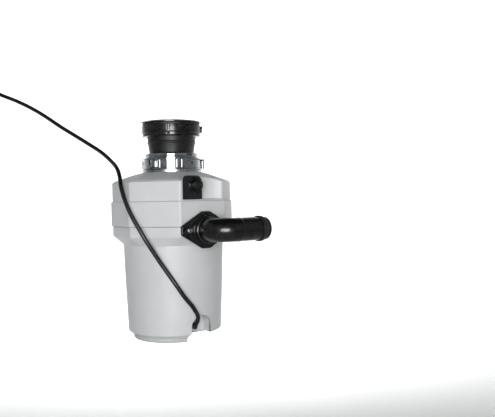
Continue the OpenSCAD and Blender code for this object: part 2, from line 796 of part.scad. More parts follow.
module plug_pins() {
    color("#c7a24c") at_plug() {
        translate([7, -2, 34]) cube([22.7, 4, 8]);
        for (y = [-11.1, 11.1]) translate([6, y - 3.15, 13.85]) cube([18.7, 6.3, 3.9]);
    }
}

module plug_screw() {
    color("#a5a8ab") at_plug() translate([-12.4, 0, 33]) rotate([0, 90, 0]) difference() {
        cylinder(r = 4, h = 3.3);
        translate([-5, -0.6, -1]) cube([10, 1.2, 2]);
    }
}

sink_flange();
sink_gasket();
backup_flange();
clamp_ring();
clamp_screws();
ring_clip();
neck_sleeve();
snap_ring();
upper_ring();
splash_guard();
lock_ring();
lock_ears();
chamber_collar();
chamber_cone();
grind_chamber();
sound_liner();
grind_ring();
turntable();
impeller_a();
impeller_b();
impeller_pins();
shaft_nut();
shaft();
shaft_seal();
upper_bearing();
lower_bearing();
discharge_housing();
discharge_floor();
discharge_spout();
body_bolts();
motor_can();
stator_core();
stator_coils();
rotor_core();
end_frame();
frame_screws();
upper_cover();
seam_band();
lower_shell();
base_cap();
terminal_plate();
terminal_screw();
overload_switch();
reset_button();
inlet_block();
inlet_spigot();
inlet_cap();
outlet_gasket();
outlet_flange();
flange_bolts();
elbow();
tail_ring();
gland_body();
gland_nut();
gland_boot();
power_cord();
plug_body();
plug_cover();
plug_pins();
plug_screw();
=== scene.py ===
"""Looks of a kitchen waste disposer that hangs from a sink: every visible piece and its finish.

Lengths in the dataclasses are millimetres; meshes are written in metres.
"""

import logging
import math
from collections.abc import Callable, Sequence
from dataclasses import dataclass, field
from enum import Enum
from typing import Any

import bpy
import numpy as np
from mathutils import Matrix, Vector


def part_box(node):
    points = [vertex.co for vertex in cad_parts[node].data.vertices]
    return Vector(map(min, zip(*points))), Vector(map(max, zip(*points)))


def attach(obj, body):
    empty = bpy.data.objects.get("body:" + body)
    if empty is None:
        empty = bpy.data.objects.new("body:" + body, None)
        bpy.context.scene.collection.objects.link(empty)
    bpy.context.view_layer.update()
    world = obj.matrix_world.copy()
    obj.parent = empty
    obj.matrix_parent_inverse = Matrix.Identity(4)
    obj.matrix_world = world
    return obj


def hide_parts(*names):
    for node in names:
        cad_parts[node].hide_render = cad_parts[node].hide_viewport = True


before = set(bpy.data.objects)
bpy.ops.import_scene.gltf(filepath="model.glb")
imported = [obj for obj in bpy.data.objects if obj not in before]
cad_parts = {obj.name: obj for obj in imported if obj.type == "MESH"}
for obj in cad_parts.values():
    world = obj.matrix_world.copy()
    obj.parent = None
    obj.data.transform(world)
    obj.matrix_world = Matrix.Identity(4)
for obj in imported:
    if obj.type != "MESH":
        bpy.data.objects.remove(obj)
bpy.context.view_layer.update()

log = logging.getLogger("disposer")
MM = 0.001
Array = np.ndarray
Surface = tuple[Array, list[list[int]]]


# ---------------------------------------------------------------- surfaces

def loft(rings: Array, loop: bool = False) -> Surface:
    """Skins closed rings of equal length into one closed surface.

    Vertex (i, j) is point j of ring i; faces join (i, j), (i, j+1), (i+1, j+1), (i+1, j).

    Args:
        rings: points in mm, shape (rings, points, 3).
        loop: True joins the last ring to the first, as round a tube wall; False closes
            each end with a fan about that ring's mean point.

    Returns:
        Vertices in mm and faces, wound so that the enclosed volume is positive.
    """
    m, n, _ = rings.shape
    index = np.arange(m * n).reshape(m, n)
    rows = np.arange(m if loop else m - 1)
    a, b = index[rows], index[(rows + 1) % m]
    faces = np.stack([a, np.roll(a, -1, 1), np.roll(b, -1, 1), b], -1).reshape(-1, 4)
    verts = rings.reshape(-1, 3)
    fans = np.zeros((0, 3), int)
    if not loop:
        verts = np.vstack([verts, rings[0].mean(0), rings[-1].mean(0)])
        first, last = index[0], index[-1]
        fans = np.vstack([
            np.stack([np.roll(first, -1), first, np.full(n, m * n)], -1),
            np.stack([last, np.roll(last, -1), np.full(n, m * n + 1)], -1)])
    tris = np.vstack([faces[:, [0, 1, 2]], faces[:, [0, 2, 3]], fans])
    p = verts[tris]
    volume = np.einsum("ij,ij->i", p[:, 0], np.cross(p[:, 1], p[:, 2])).sum()
    if volume < 0:
        faces, fans = faces[:, ::-1], fans[:, ::-1]
    return verts, faces.tolist() + fans.tolist()


def soften(corners: Sequence[Sequence[float]], radius: float | Sequence[float], steps: int = 4) -> Array:
    """Rounds the corners of a closed outline with quadratic Bezier fillets.

    Each corner C becomes (1-t)^2 A + 2t(1-t) C + t^2 B, with A and B a radius away along
    its two sides, or nearly half a side where that is shorter.

    Args:
        corners: the outline's corners in order, (u, v) in mm.
        radius: one fillet size in mm, or one for each corner.
        steps: spans along each fillet.

    Returns:
        The rounded outline, shape (corners * (steps + 1), 2).
    """
    c = np.asarray(corners, float)
    r = np.broadcast_to(np.asarray(radius, float), len(c))[:, None]
    back, ahead = np.roll(c, 1, 0) - c, np.roll(c, -1, 0) - c
    lb = np.linalg.norm(back, axis=1, keepdims=True)
    la = np.linalg.norm(ahead, axis=1, keepdims=True)
    a = c + back / lb * np.minimum(r, 0.49 * lb)
    b = c + ahead / la * np.minimum(r, 0.49 * la)
    t = np.linspace(0, 1, steps + 1)[None, :, None]
    return ((1 - t) ** 2 * a[:, None] + 2 * t * (1 - t) * c[:, None] + t ** 2 * b[:, None]).reshape(-1, 2)


def angles(count: int = 192) -> Array:
    """Evenly spaced bearings in radians, without the closing one."""
    return np.linspace(0, 2 * np.pi, count, endpoint=False)


def turned(profile: Array, count: int = 192,
           shape: Callable[[Array, Array, Array], Array] | None = None) -> Surface:
    """A body of revolution about Z: (r cos a, r sin a, z), closed round its profile.

    Args:
        profile: closed outline of (r, z) in mm.
        count: bearings round the axis.
        shape: changes r at each (bearing, r, z), for ribs, slots and windows.

    Returns:
        The closed surface.
    """
    a = angles(count)[None, :]
    r, z = profile[:, :1] + 0 * a, profile[:, 1:] + 0 * a
    if shape is not None:
        r = shape(a + 0 * r, r, z)
    return loft(np.stack([r * np.cos(a), r * np.sin(a), z], -1), loop=True)


def solid_turned(profile: Array, count: int = 96) -> Surface:
    """A body of revolution about Z whose open profile of (r, z) starts and ends on the axis."""
    a = angles(count)[None, :]
    r, z = profile[:, :1], profile[:, 1:]
    return loft(np.stack([r * np.cos(a), r * np.sin(a), z + 0 * a], -1))


def placed(surface: Surface, at: Sequence[float], x: Sequence[float], y: Sequence[float],
           z: Sequence[float]) -> Surface:
    """Carries a surface to axes x, y, z at a point: p = at + u x + v y + w z.

    Args:
        surface: vertices in mm and faces.
        at: the new origin in mm.
        x: direction of the old X axis.
        y: direction of the old Y axis.
        z: direction of the old Z axis; the three are right-handed.

    Returns:
        The moved surface.
    """
    return surface[0] @ np.array([x, y, z], float) + np.array(at, float), surface[1]


def along_x(surface: Surface, at: Sequence[float]) -> Surface:
    """Turns a surface made about Z so that its axis runs along +X from a point."""
    return placed(surface, at, (0, 1, 0), (0, 0, 1), (1, 0, 0))


def frames_along(path: Array) -> tuple[Array, Array, Array]:
    """Headings and two side vectors along a path, carried without twist.

    Each side vector is the last one less its part along the new heading, made unit again.

    Args:
        path: points in mm, shape (n, 3).

    Returns:
        Heading, side and upper side vectors, each of shape (n, 3).
    """
    h = np.gradient(path, axis=0)
    h /= np.linalg.norm(h, axis=1, keepdims=True)
    side = np.zeros_like(h)
    s = np.array([0.0, 1.0, 0.0]) if abs(h[0, 1]) < 0.9 else np.array([0.0, 0.0, 1.0])
    for i, d in enumerate(h):
        s = s - (s @ d) * d
        s = s / np.linalg.norm(s)
        side[i] = s
    return h, side, np.cross(h, side)


def swept(path: Array, outer: Array | float, inner: Array | float | None = None, count: int = 48) -> Surface:
    """A round tube along a path: p + r (cos a u + sin a v), solid, or hollow with an inner wall.

    Args:
        path: centreline in mm.
        outer: outer radius, one value or one for each point.
        inner: bore radius, or None for a solid one.
        count: points round the tube.

    Returns:
        The closed surface.
    """
    _, u, v = frames_along(path)
    a = angles(count)[None, :, None]
    ring = np.cos(a) * u[:, None] + np.sin(a) * v[:, None]
    out = path[:, None] + np.broadcast_to(outer, len(path))[:, None, None] * ring
    if inner is None:
        return loft(out)
    bore = path[:, None] + np.broadcast_to(inner, len(path))[:, None, None] * ring
    return loft(np.concatenate([out, bore[::-1]]), loop=True)


def slab(outline: Array, low: float, high: float, edge: float = 0.6, steps: int = 3,
         hole: Array | None = None) -> Surface:
    """A plate with rounded edges: its outline shrinks by edge (1 - sin t) as it rises edge (1 - cos t).

    Args:
        outline: (u, v) in mm, star-shaped about its mean point.
        low: lower face in mm.
        high: upper face in mm.
        edge: edge rounding in mm.
        steps: spans round each edge.
        hole: inner outline with as many points, or None.

    Returns:
        The closed surface, with the plate lying in XY.
    """
    mid = outline.mean(0)
    away = outline - mid
    away = away / np.linalg.norm(away, axis=1, keepdims=True)
    t = np.linspace(0, np.pi / 2, steps + 1)
    shrink = edge * (1 - np.sin(t))
    rise = edge * (1 - np.cos(t))
    pull = np.concatenate([shrink, shrink[::-1]])
    z = np.concatenate([low + rise, high - rise[::-1]])
    flat = outline[None] - pull[:, None, None] * away[None]
    rings = np.concatenate([flat, np.broadcast_to(z[:, None, None], flat.shape[:2] + (1,))], -1)
    if hole is None:
        return loft(rings)
    walls = [np.column_stack([hole, np.full(len(hole), h)]) for h in (high, low)]
    return loft(np.concatenate([rings, np.array(walls)]), loop=True)


def rounded_box(size: Sequence[float], centre: Sequence[float], corner: float = 3.0,
                edge: float = 1.0) -> Surface:
    """A moulded block: a rounded rectangle slab about a centre.

    Args:
        size: full width, depth and height in mm.
        centre: its middle in mm.
        corner: radius of its upright corners.
        edge: radius round its top and bottom.

    Returns:
        The closed surface.
    """
    w, d, h = (s / 2 for s in size)
    outline = soften([(-w, -d), (w, -d), (w, d), (-w, d)], corner * 1.6, 6)
    return placed(slab(outline, -h, h, edge), centre, (1, 0, 0), (0, 1, 0), (0, 0, 1))


def spline(points: Array, per_span: int) -> Array:
    """A Catmull-Rom curve through points: half of 2b + (c-a)t + (2a-5b+4c-d)t^2 + (3b-a-3c+d)t^3.

    Args:
        points: route points, shape (n, 3).
        per_span: samples in each span.

    Returns:
        The curve's points, ends included.
    """
    p = np.vstack([points[:1], points, points[-1:]])
    a, b, c, d = (q[:, None] for q in (p[:-3], p[1:-2], p[2:-1], p[3:]))
    t = (np.arange(per_span) / per_span)[None, :, None]
    square, cube = 2 * a - 5 * b + 4 * c - d, 3 * b - a - 3 * c + d
    curve = 0.5 * (2 * b + (c - a) * t + square * t ** 2 + cube * t ** 3)
    return np.vstack([curve.reshape(-1, 3), points[-1:]])


def bump_at(a: Array, centre: float, half: float, soft: float) -> Array:
    """A smooth 0..1 window of bearings: 1 within half degrees of centre, fading over soft degrees."""
    off = np.abs((np.degrees(a) - centre + 180) % 360 - 180)
    return np.clip((half + soft - off) / soft, 0, 1)


def bump_in(z: Array, low: float, high: float, soft: float) -> Array:
    """A smooth 0..1 window of heights between low and high, fading over soft mm inside it."""
    return np.clip(np.minimum(z - low, high - z) / soft, 0, 1)


# ---------------------------------------------------------------- finishes

def linear(code: str) -> tuple[float, float, float, float]:
    """Turns an sRGB hex colour into the renderer's linear RGBA."""
    s = [int(code[i:i + 2], 16) / 255 for i in (1, 3, 5)]
    r, g, b = (c / 12.92 if c <= 0.04045 else ((c + 0.055) / 1.055) ** 2.4 for c in s)
    return r, g, b, 1.0


def add(tree: bpy.types.NodeTree, kind: str, links: dict[str, Any] | None = None,
        values: dict[str, Any] | None = None, **settings: Any) -> bpy.types.Node:
    """Adds a shader node.

    Args:
        tree: the material's node tree.
        kind: the node's type name.
        links: input name to the output socket that feeds it.
        values: input name to a constant.
        settings: the node's own properties.

    Returns:
        The new node.
    """
    node = tree.nodes.new(kind)
    for name, value in settings.items():
        setattr(node, name, value)
    for name, value in (values or {}).items():
        node.inputs[name].default_value = value
    for name, socket in (links or {}).items():
        tree.links.new(socket, node.inputs[name])
    return node


class Grain(Enum):
    """How a pattern lies on a surface."""

    EVEN = "even"
    TURNED = "turned about the upright axis"
    STACKED = "layers one on another"
    WOUND = "strands laid round the upright axis"
    CELLS = "beads pressed together"


@dataclass(frozen=True)
class Finish:
    """A procedural surface: colour with mottling, roughness with smudges, and a relief.

    Attributes:
        name: the material and how its surface was made.
        base: sRGB hex colour.
        shade: sRGB hex colour of the darker or dirtier patches.
        roughness: microfacet roughness of the clean surface.
        metallic: 1 for bare metal.
        ior: refractive index of a non-metal.
        coat: strength of a clear gloss layer.
        grain: how the relief lies.
        grain_mm: size of the relief's features.
        depth_mm: height of the relief.
        mottle_mm: size of the colour and roughness patches.
        mottle: how far the patches go towards shade.
        smudge: how far roughness wanders either way.
        sheen: strength of soft fibre or dust sheen.
    """

    name: str
    base: str
    shade: str
    roughness: float
    metallic: float = 0.0
    ior: float = 1.5
    coat: float = 0.0
    grain: Grain = Grain.EVEN
    grain_mm: float = 0.8
    depth_mm: float = 0.02
    mottle_mm: float = 30.0
    mottle: float = 0.5
    smudge: float = 0.06
    sheen: float = 0.0

    def place(self, tree: bpy.types.NodeTree) -> bpy.types.NodeSocket:
        """Object coordinates in metres, bent to the way the grain lies.

        Args:
            tree: the material's node tree.

        Returns:
            The vector socket that the relief reads.
        """
        here = add(tree, "ShaderNodeTexCoord").outputs["Object"]
        if self.grain in (Grain.EVEN, Grain.CELLS):
            return here
        if self.grain is Grain.STACKED:
            flat = add(tree, "ShaderNodeMapping", {"Vector": here}, {"Scale": (0.02, 0.02, 1.0)})
            return flat.outputs["Vector"]
        parts = add(tree, "ShaderNodeSeparateXYZ", {"Vector": here})
        x, y, z = (parts.outputs[k] for k in "XYZ")
        xx = add(tree, "ShaderNodeMath", {0: x, 1: x}, operation="MULTIPLY")
        yy = add(tree, "ShaderNodeMath", {0: y, 1: y}, operation="MULTIPLY")
        rr = add(tree, "ShaderNodeMath", {0: xx.outputs[0], 1: yy.outputs[0]}, operation="ADD")
        r = add(tree, "ShaderNodeMath", {0: rr.outputs[0]}, operation="SQRT")
        return add(tree, "ShaderNodeCombineXYZ", {"X": r.outputs[0], "Y": z}).outputs["Vector"]

    def build(self) -> bpy.types.Material:
        """Makes the material, once for each finish.

        Returns:
            The node material.
        """
        found = bpy.data.materials.get(self.name)
        if found is not None:
            return found
        made = bpy.data.materials.new(self.name)
        made.use_nodes = True
        made.diffuse_color = linear(self.base)
        tree = made.node_tree
        shader = tree.nodes["Principled BSDF"]
        shader.inputs["Metallic"].default_value = self.metallic
        if self.metallic < 0.5:
            shader.inputs["IOR"].default_value = self.ior
        shader.inputs["Coat Weight"].default_value = self.coat
        shader.inputs["Coat Roughness"].default_value = 0.08
        shader.inputs["Sheen Weight"].default_value = self.sheen
        here = add(tree, "ShaderNodeTexCoord").outputs["Object"]
        patches = add(tree, "ShaderNodeTexNoise", {"Vector": here},
                      {"Scale": 1000 / self.mottle_mm, "Detail": 4.0, "Roughness": 0.55})
        ramp = add(tree, "ShaderNodeValToRGB", {"Fac": patches.outputs["Fac"]})
        ramp.color_ramp.elements[0].position = 0.30
        ramp.color_ramp.elements[0].color = linear(self.shade)
        ramp.color_ramp.elements[1].position = 0.30 + 0.55 * (1 - 0.6 * self.mottle)
        ramp.color_ramp.elements[1].color = linear(self.base)
        tree.links.new(ramp.outputs["Color"], shader.inputs["Base Color"])
        rough = add(tree, "ShaderNodeMapRange", {"Value": patches.outputs["Fac"]},
                    {"From Min": 0.3, "From Max": 0.7, "To Min": min(1.0, self.roughness + self.smudge),
                     "To Max": max(0.02, self.roughness - self.smudge)})
        tree.links.new(rough.outputs["Result"], shader.inputs["Roughness"])
        where = self.place(tree)
        if self.grain is Grain.CELLS:
            relief = add(tree, "ShaderNodeTexVoronoi", {"Vector": where}, {"Scale": 1000 / self.grain_mm})
            height = relief.outputs["Distance"]
        elif self.grain in (Grain.STACKED, Grain.WOUND):
            relief = add(tree, "ShaderNodeTexWave", {"Vector": where},
                         {"Scale": 1000 / self.grain_mm / 6.283, "Distortion": 0.4, "Detail": 1.0},
                         bands_direction="Z" if self.grain is Grain.STACKED else "DIAGONAL")
            height = relief.outputs["Fac"]
        else:
            relief = add(tree, "ShaderNodeTexNoise", {"Vector": where},
                         {"Scale": 1000 / self.grain_mm, "Detail": 3.0, "Roughness": 0.6})
            height = relief.outputs["Fac"]
        bump = add(tree, "ShaderNodeBump", {"Height": height},
                   {"Strength": 1.0, "Distance": self.depth_mm * MM})
        tree.links.new(bump.outputs["Normal"], shader.inputs["Normal"])
        return made


class Kit:
    """Every finish on the object. Grain that is too fine to show is drawn near 0.8 mm."""

    # injection-moulded polypropylene, spark-eroded mould: an even satin, pale and slightly cool
    cover = Finish("moulded_polypropylene_pale_grey", "#D3D5D6", "#CCCECF", 0.42, ior=1.49,
                   grain_mm=0.9, depth_mm=0.012, mottle_mm=45, mottle=0.4, smudge=0.04)
    base = Finish("moulded_polypropylene_base_grey", "#C3C5C6", "#B6B8B9", 0.48, ior=1.49,
                  grain_mm=0.9, depth_mm=0.02, mottle_mm=25)
    # gloss stoving enamel over pressed steel: deep black with a faint orange peel
    enamel = Finish("stoved_black_enamel", "#0F1011", "#0A0B0C", 0.26, coat=0.35,
                    grain_mm=3.0, depth_mm=0.02, mottle_mm=18, smudge=0.05)
    # nitrile rubber from an as-cast mould: dull black, greyed where it has been handled
    rubber = Finish("moulded_nitrile_rubber", "#151617", "#0E0F10", 0.46, ior=1.52,
                    grain_mm=0.8, depth_mm=0.02, mottle_mm=14, smudge=0.08, sheen=0.03)
    # bright chromium plate: a near mirror with a little wiping haze
    chrome = Finish("bright_chromium_plate", "#BEC2C5", "#ABAFB2", 0.06, metallic=1.0,
                    grain_mm=6.0, depth_mm=0.006, mottle_mm=16, smudge=0.03)
    # drawn 304 stainless: fine turned lines round the throat
    stainless = Finish("turned_stainless_steel", "#C9CBCD", "#B2B5B7", 0.24, metallic=1.0,
                       grain=Grain.TURNED, grain_mm=0.8, depth_mm=0.010, mottle_mm=22)
    # cast 420 stainless, tumbled: soft pits
    casting = Finish("cast_stainless_steel", "#A3A6A8", "#7F8284", 0.36, metallic=1.0,
                     grain_mm=1.2, depth_mm=0.05, mottle_mm=8)
    # gloss black ABS: a hard highlight and a faint flow ripple
    abs_gloss = Finish("gloss_moulded_abs_black", "#0D0D0E", "#09090A", 0.25, ior=1.54, coat=0.2,
                       grain_mm=9.0, depth_mm=0.03, mottle_mm=20, smudge=0.05)
    # glass-filled nylon, natural grey: waxy, slightly cloudy
    nylon = Finish("moulded_nylon_light_grey", "#C6C8C9", "#B3B5B6", 0.40, ior=1.53,
                   grain_mm=1.0, depth_mm=0.02, mottle_mm=8)
    # PVC sheath, extruded: low gloss with long faint drag marks drawn as fine grain
    sheath = Finish("extruded_pvc_sheath", "#101011", "#0B0B0C", 0.33, ior=1.53,
                    grain_mm=1.6, depth_mm=0.03, mottle_mm=12, smudge=0.08)
    # zinc-plated steel fastener: pale, slightly blue, mottled
    zinc = Finish("bright_zinc_plate", "#B9BDC2", "#94989D", 0.28, metallic=1.0,
                  grain_mm=1.0, depth_mm=0.02, mottle_mm=4, smudge=0.08)
    # pressure die-cast aluminium, as cast: grey and finely pitted
    diecast = Finish("die_cast_aluminium", "#A4A7A9", "#84888A", 0.45, metallic=1.0,
                     grain_mm=1.4, depth_mm=0.06, mottle_mm=12)
    # silicon-steel laminations 0.5 mm thick, drawn as 1 mm bands
    laminate = Finish("stacked_steel_laminations", "#7E8285", "#5D6164", 0.40, metallic=1.0,
                      grain=Grain.STACKED, grain_mm=1.0, depth_mm=0.15, mottle_mm=20)
    # enamelled copper wire laid round the core, strands drawn as 1.2 mm
    copper = Finish("enamelled_copper_winding", "#A85C2B", "#6F3716", 0.28, metallic=1.0,
                    grain=Grain.WOUND, grain_mm=1.2, depth_mm=0.35, mottle_mm=9)
    # ground steel shaft and races: turned lines, oily patches
    ground = Finish("ground_bearing_steel", "#B4B7BA", "#8E9194", 0.18, metallic=1.0,
                    grain=Grain.TURNED, grain_mm=0.8, depth_mm=0.008, mottle_mm=10)
    # expanded polystyrene: 4 mm beads pressed together
    foam = Finish("expanded_polystyrene_beads", "#E6E7E3", "#D4D5D0", 0.75, ior=1.3,
                  grain=Grain.CELLS, grain_mm=4.0, depth_mm=0.5, mottle_mm=20)
    # brass pins: warm, lightly rubbed along their length
    brass = Finish("drawn_brass", "#C9A557", "#A5823B", 0.24, metallic=1.0,
                   grain_mm=1.0, depth_mm=0.01, mottle_mm=6)
    # signal-red ABS button
    red = Finish("gloss_moulded_abs_red", "#B0241C", "#931B15", 0.25, ior=1.54,
                 grain_mm=2.0, depth_mm=0.01, mottle_mm=5)
    # green passivated earth screw
    green = Finish("green_passivated_steel", "#5C8A4C", "#466B3A", 0.35, metallic=0.4,
                   grain_mm=1.0, depth_mm=0.02, mottle_mm=3)


# ---------------------------------------------------------------- pieces

def make_piece(name: str, surfaces: Sequence[Surface], finish: Finish, body: str, node: str,
               sharp: float = 34.0, cutters: Sequence[Surface] = (),
               stands_for: bool = True) -> bpy.types.Object:
    """Turns closed surfaces into one finished piece on a CAD body.

    Args:
        name: the piece's name.
        surfaces: closed surfaces in mm.
        finish: its finish.
        body: the CAD body that it rides on.
        node: the CAD node that it belongs to.
        sharp: edges that turn more than this many degrees stay crisp.
        cutters: closed surfaces in mm that are taken away.
        stands_for: True where the piece takes the CAD node's place.

    Returns:
        The Blender object.
    """
    obj = raw_object(name, surfaces)
    for number, cutter in enumerate(cutters):
        tool = raw_object(f"{name}_cutter_{number}", [cutter])
        cut = obj.modifiers.new("cut", "BOOLEAN")
        cut.operation, cut.solver, cut.object = "DIFFERENCE", "EXACT", tool
        bpy.context.view_layer.update()
        whole = obj.evaluated_get(bpy.context.evaluated_depsgraph_get())
        mesh = bpy.data.meshes.new_from_object(whole)
        obj.modifiers.clear()
        obj.data = mesh
        bpy.data.objects.remove(tool)
    mesh = obj.data
    mesh.name = name
    mesh.polygons.foreach_set("use_smooth", np.ones(len(mesh.polygons), bool))
    mesh.set_sharp_from_angle(angle=math.radians(sharp))
    mesh.materials.clear()
    mesh.materials.append(finish.build())
    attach(obj, body)
    if stands_for:
        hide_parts(node)
    log.info("%s: %d faces", name, len(mesh.polygons))
    return obj


def raw_object(name: str, surfaces: Sequence[Surface]) -> bpy.types.Object:
    """Links a mesh object made of closed surfaces given in mm."""
    verts: list[Array] = []
    faces: list[list[int]] = []
    count = 0
    for points, polygons in surfaces:
        verts.append(points)
        faces += [[i + count for i in polygon] for polygon in polygons]
        count += len(points)
    mesh = bpy.data.meshes.new(name)
    mesh.from_pydata((np.vstack(verts) * MM).tolist(), [], faces)
    mesh.validate()
    mesh.update()
    obj = bpy.data.objects.new(name, mesh)
    bpy.context.scene.collection.objects.link(obj)
    return obj


def dress(finish: Finish, *nodes: str) -> None:
    """Gives CAD nodes that keep their own mesh a finish.

    Args:
        finish: the finish.
        nodes: the CAD nodes' names.
    """
    for node in nodes:
        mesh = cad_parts[node].data
        mesh.materials.clear()
        mesh.materials.append(finish.build())
        log.info("%s keeps its CAD mesh", node)


def low_high(node: str) -> tuple[Array, Array]:
    """A CAD node's lowest and highest corner in mm."""
    low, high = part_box(node)
    return np.array(low) / MM, np.array(high) / MM


@dataclass
class SinkMount:
    """Flange, clamp ring, neck and the two chrome rings under the sink, sizes in mm."""

    flange_r: float = 57.2
    throat_r: float = 36.8
    clamp_r: float = 52.7
    neck_top_r: float = 42.75
    upper_r: float = 47.0
    lock_r: float = 53.0
    lock_bore: float = 46.4
    ears: tuple[float, ...] = (179.0, -66.0)
    tube_ear: float = 59.0

    def flange(self) -> Surface:
        """The pressed flange: a rolled lip that runs down into the throat sleeve."""
        foot = low_high("sink_flange")[0][2]
        rim = self.flange_r
        corners = [(rim, 0), (rim, 1.1), (rim - 1.7, 2.4), (47, 2.4), (44.6, 1.2), (42.3, -3.4),
                   (40.9, -10.4), (self.throat_r, -22), (self.throat_r, foot), (38, foot),
                   (38, -22.2), (42.1, -10.6), (43.6, -3.6), (43.6, 0)]
        return turned(soften(corners, [0.5, 0.6, 1, 1.5, 1.5, 3, 5, 6, 0.4, 0.4, 6, 5, 2, 0.3]))

    def clamp(self) -> Surface:
        """The enamelled clamp ring; its slots are dents 2 mm deep in the outer wall."""
        low, high = low_high("clamp_ring")
        b, t, r = low[2], high[2], self.clamp_r
        corners = [(50, t), (r - 0.4, t), (r, b + 7.2), (r - 1.2, b + 6), (r - 1.2, b + 1), (r - 2.2, b),
                   (44.2, b), (44.2, t - 2), (50, t - 2)]
        rows = soften(corners, [0.2, 0.9, 1.2, 0.8, 1, 1, 0.4, 0.3, 0.3], 5)
        side = np.column_stack([np.full(40, r), np.linspace(t - 1.2, b + 7.8, 40)])
        at = int(np.argmax((rows[:, 0] > r - 0.3) & (rows[:, 1] < t - 4)))
        rows = np.vstack([rows[:at], side, rows[at:]])

        def slots(a: Array, radius: Array, z: Array) -> Array:
            """Keyhole and level slots: radius less 2.2 mm inside each slot's window."""
            outer = radius > r - 1.5
            key = bump_at(a, -36, 1.9, 0.6) * (z > t - 12.5)
            off = np.hypot(np.radians((np.degrees(a) + 36 + 180) % 360 - 180) * r, z - (t - 12.5))
            key = np.maximum(key, off < 3.0)
            level = sum(bump_at(a, c, 7.5, 0.6) for c in (-25, 84, 204)) * bump_in(z, t - 5.2, t - 2.3, 0.4)
            return radius - 2.2 * outer * np.clip(key + level, 0, 1)

        return turned(rows, 720, slots)

    def clip(self) -> list[Surface]:
        """The side clip that stops the ring from turning, with its groove."""
        low, high = low_high("clamp_ring")
        z0, z1 = low[2] + 8, high[2] - 0.6
        a = math.radians(self.tube_ear)
        out, side = (math.cos(a), math.sin(a), 0), (-math.sin(a), math.cos(a), 0)
        blocks = []
        for offset, thick in ((-4.2, 3.2), (4.2, 3.2), (0, 2.0)):
            box = rounded_box((thick, 5.4 if thick > 2.5 else 4.4, z1 - z0), (0, 0, 0), 0.8, 0.5)
            at = np.array(out) * (self.clamp_r + thick / 2 - 0.2) + np.array(side) * offset
            blocks.append(placed(box, (at[0], at[1], (z0 + z1) / 2), out, side, (0, 0, 1)))
        return blocks

    def neck(self) -> Surface:
        """The moulded sleeve: a slow taper with one bead, r from 42.75 to 39.6 mm."""
        low, high = low_high("neck_sleeve")
        t, b = high[2] - 1.2, low[2]
        corners = [(38, t + 1.2), (44.2, t + 1.2), (44.2, t), (self.neck_top_r, t), (42.4, t - 8.2),
                   (43.3, t - 9.2), (43.3, t - 10.8), (42.1, t - 12), (39.9, b + 3),
                   (39.9, b + 1.4), (39.3, b), (38, b)]
        return turned(soften(corners, [0.2, 0.3, 0.3, 0.5, 0.8, 0.8, 0.8, 0.8, 0.6, 0.6, 0.4, 0.2]))

    def upper_ring(self) -> Surface:
        """The chrome mounting ring, with three shallow windows above its skirt."""
        low, high = low_high("upper_ring")
        t, b, r = high[2], low[2], self.upper_r
        corners = [(40.5, t), (r - 1.6, t), (r, t - 1.6), (r, t - 6.3), (48.2, t - 7.3), (48.2, b), (40.5, b)]
        rows = soften(corners, [0.3, 1.2, 1.2, 0.8, 0.8, 0.4, 0.3], 6)

        def windows(a: Array, radius: Array, z: Array) -> Array:
            """Radius less 1.6 mm inside each window."""
            inside = sum(bump_at(a, c, 7, 0.8) for c in (10, 130, 250)) * bump_in(z, t - 5.6, t - 2.2, 0.5)
            return radius - 1.6 * inside * (radius > 44)

        return turned(rows, 360, windows)

    def lock_ring(self) -> Surface:
        """The chrome twist ring: rims top and bottom, raised panels, ramp slots and windows.

        The outer radius is the rim's, less 1.5 mm between panels, less 3.4 mm in windows.
        """
        low, high = low_high("lock_ring")
        b, t, r = low[2], high[2], self.lock_r
        rows = soften([(self.lock_bore, b), (r, b), (r, t), (self.lock_bore, t)], 0.7, 5)
        side = np.column_stack([np.full(56, r), np.linspace(b + 0.9, t - 0.9, 56)])
        at = int(np.argmax(rows[:, 1] > t - 1.0))
        rows = np.vstack([rows[:at], side, rows[at:]])

        def relief(a: Array, radius: Array, z: Array) -> Array:
            """Rims, panels, tabs and windows as smooth steps in radius."""
            outer = radius > r - 0.6
            well = bump_in(z, b + 2.6, t - 2.4, 0.6)
            panel = sum(bump_at(a, c, w, 0.6) for c, w in (
                (-36, 2.8), (-19, 1.5), (-62, 6.5), (-6, 5.0), (84, 2.8), (101, 1.5), (58, 6.5), (114, 5.0),
                (204, 2.8), (221, 1.5), (178, 6.5), (234, 5.0)))
            window = sum(bump_at(a, c, 3.6, 0.5) for c in (-49, 71, 191)) * bump_in(z, b + 3.6, t - 4.6, 0.4)
            ramp = sum(bump_at(a, c, 8.0, 0.5) * bump_in(z + 0.09 * ((np.degrees(a) - c + 180) % 360 - 180),
                       t - 9.6, t - 6.0, 0.4) for c in (6, 126, 246))
            depth = 1.4 * well * (1 - np.clip(panel, 0, 1)) + 2.4 * well * np.clip(window + ramp, 0, 1)
            return radius - np.minimum(depth, 3.6) * outer

        return turned(rows, 720, relief)

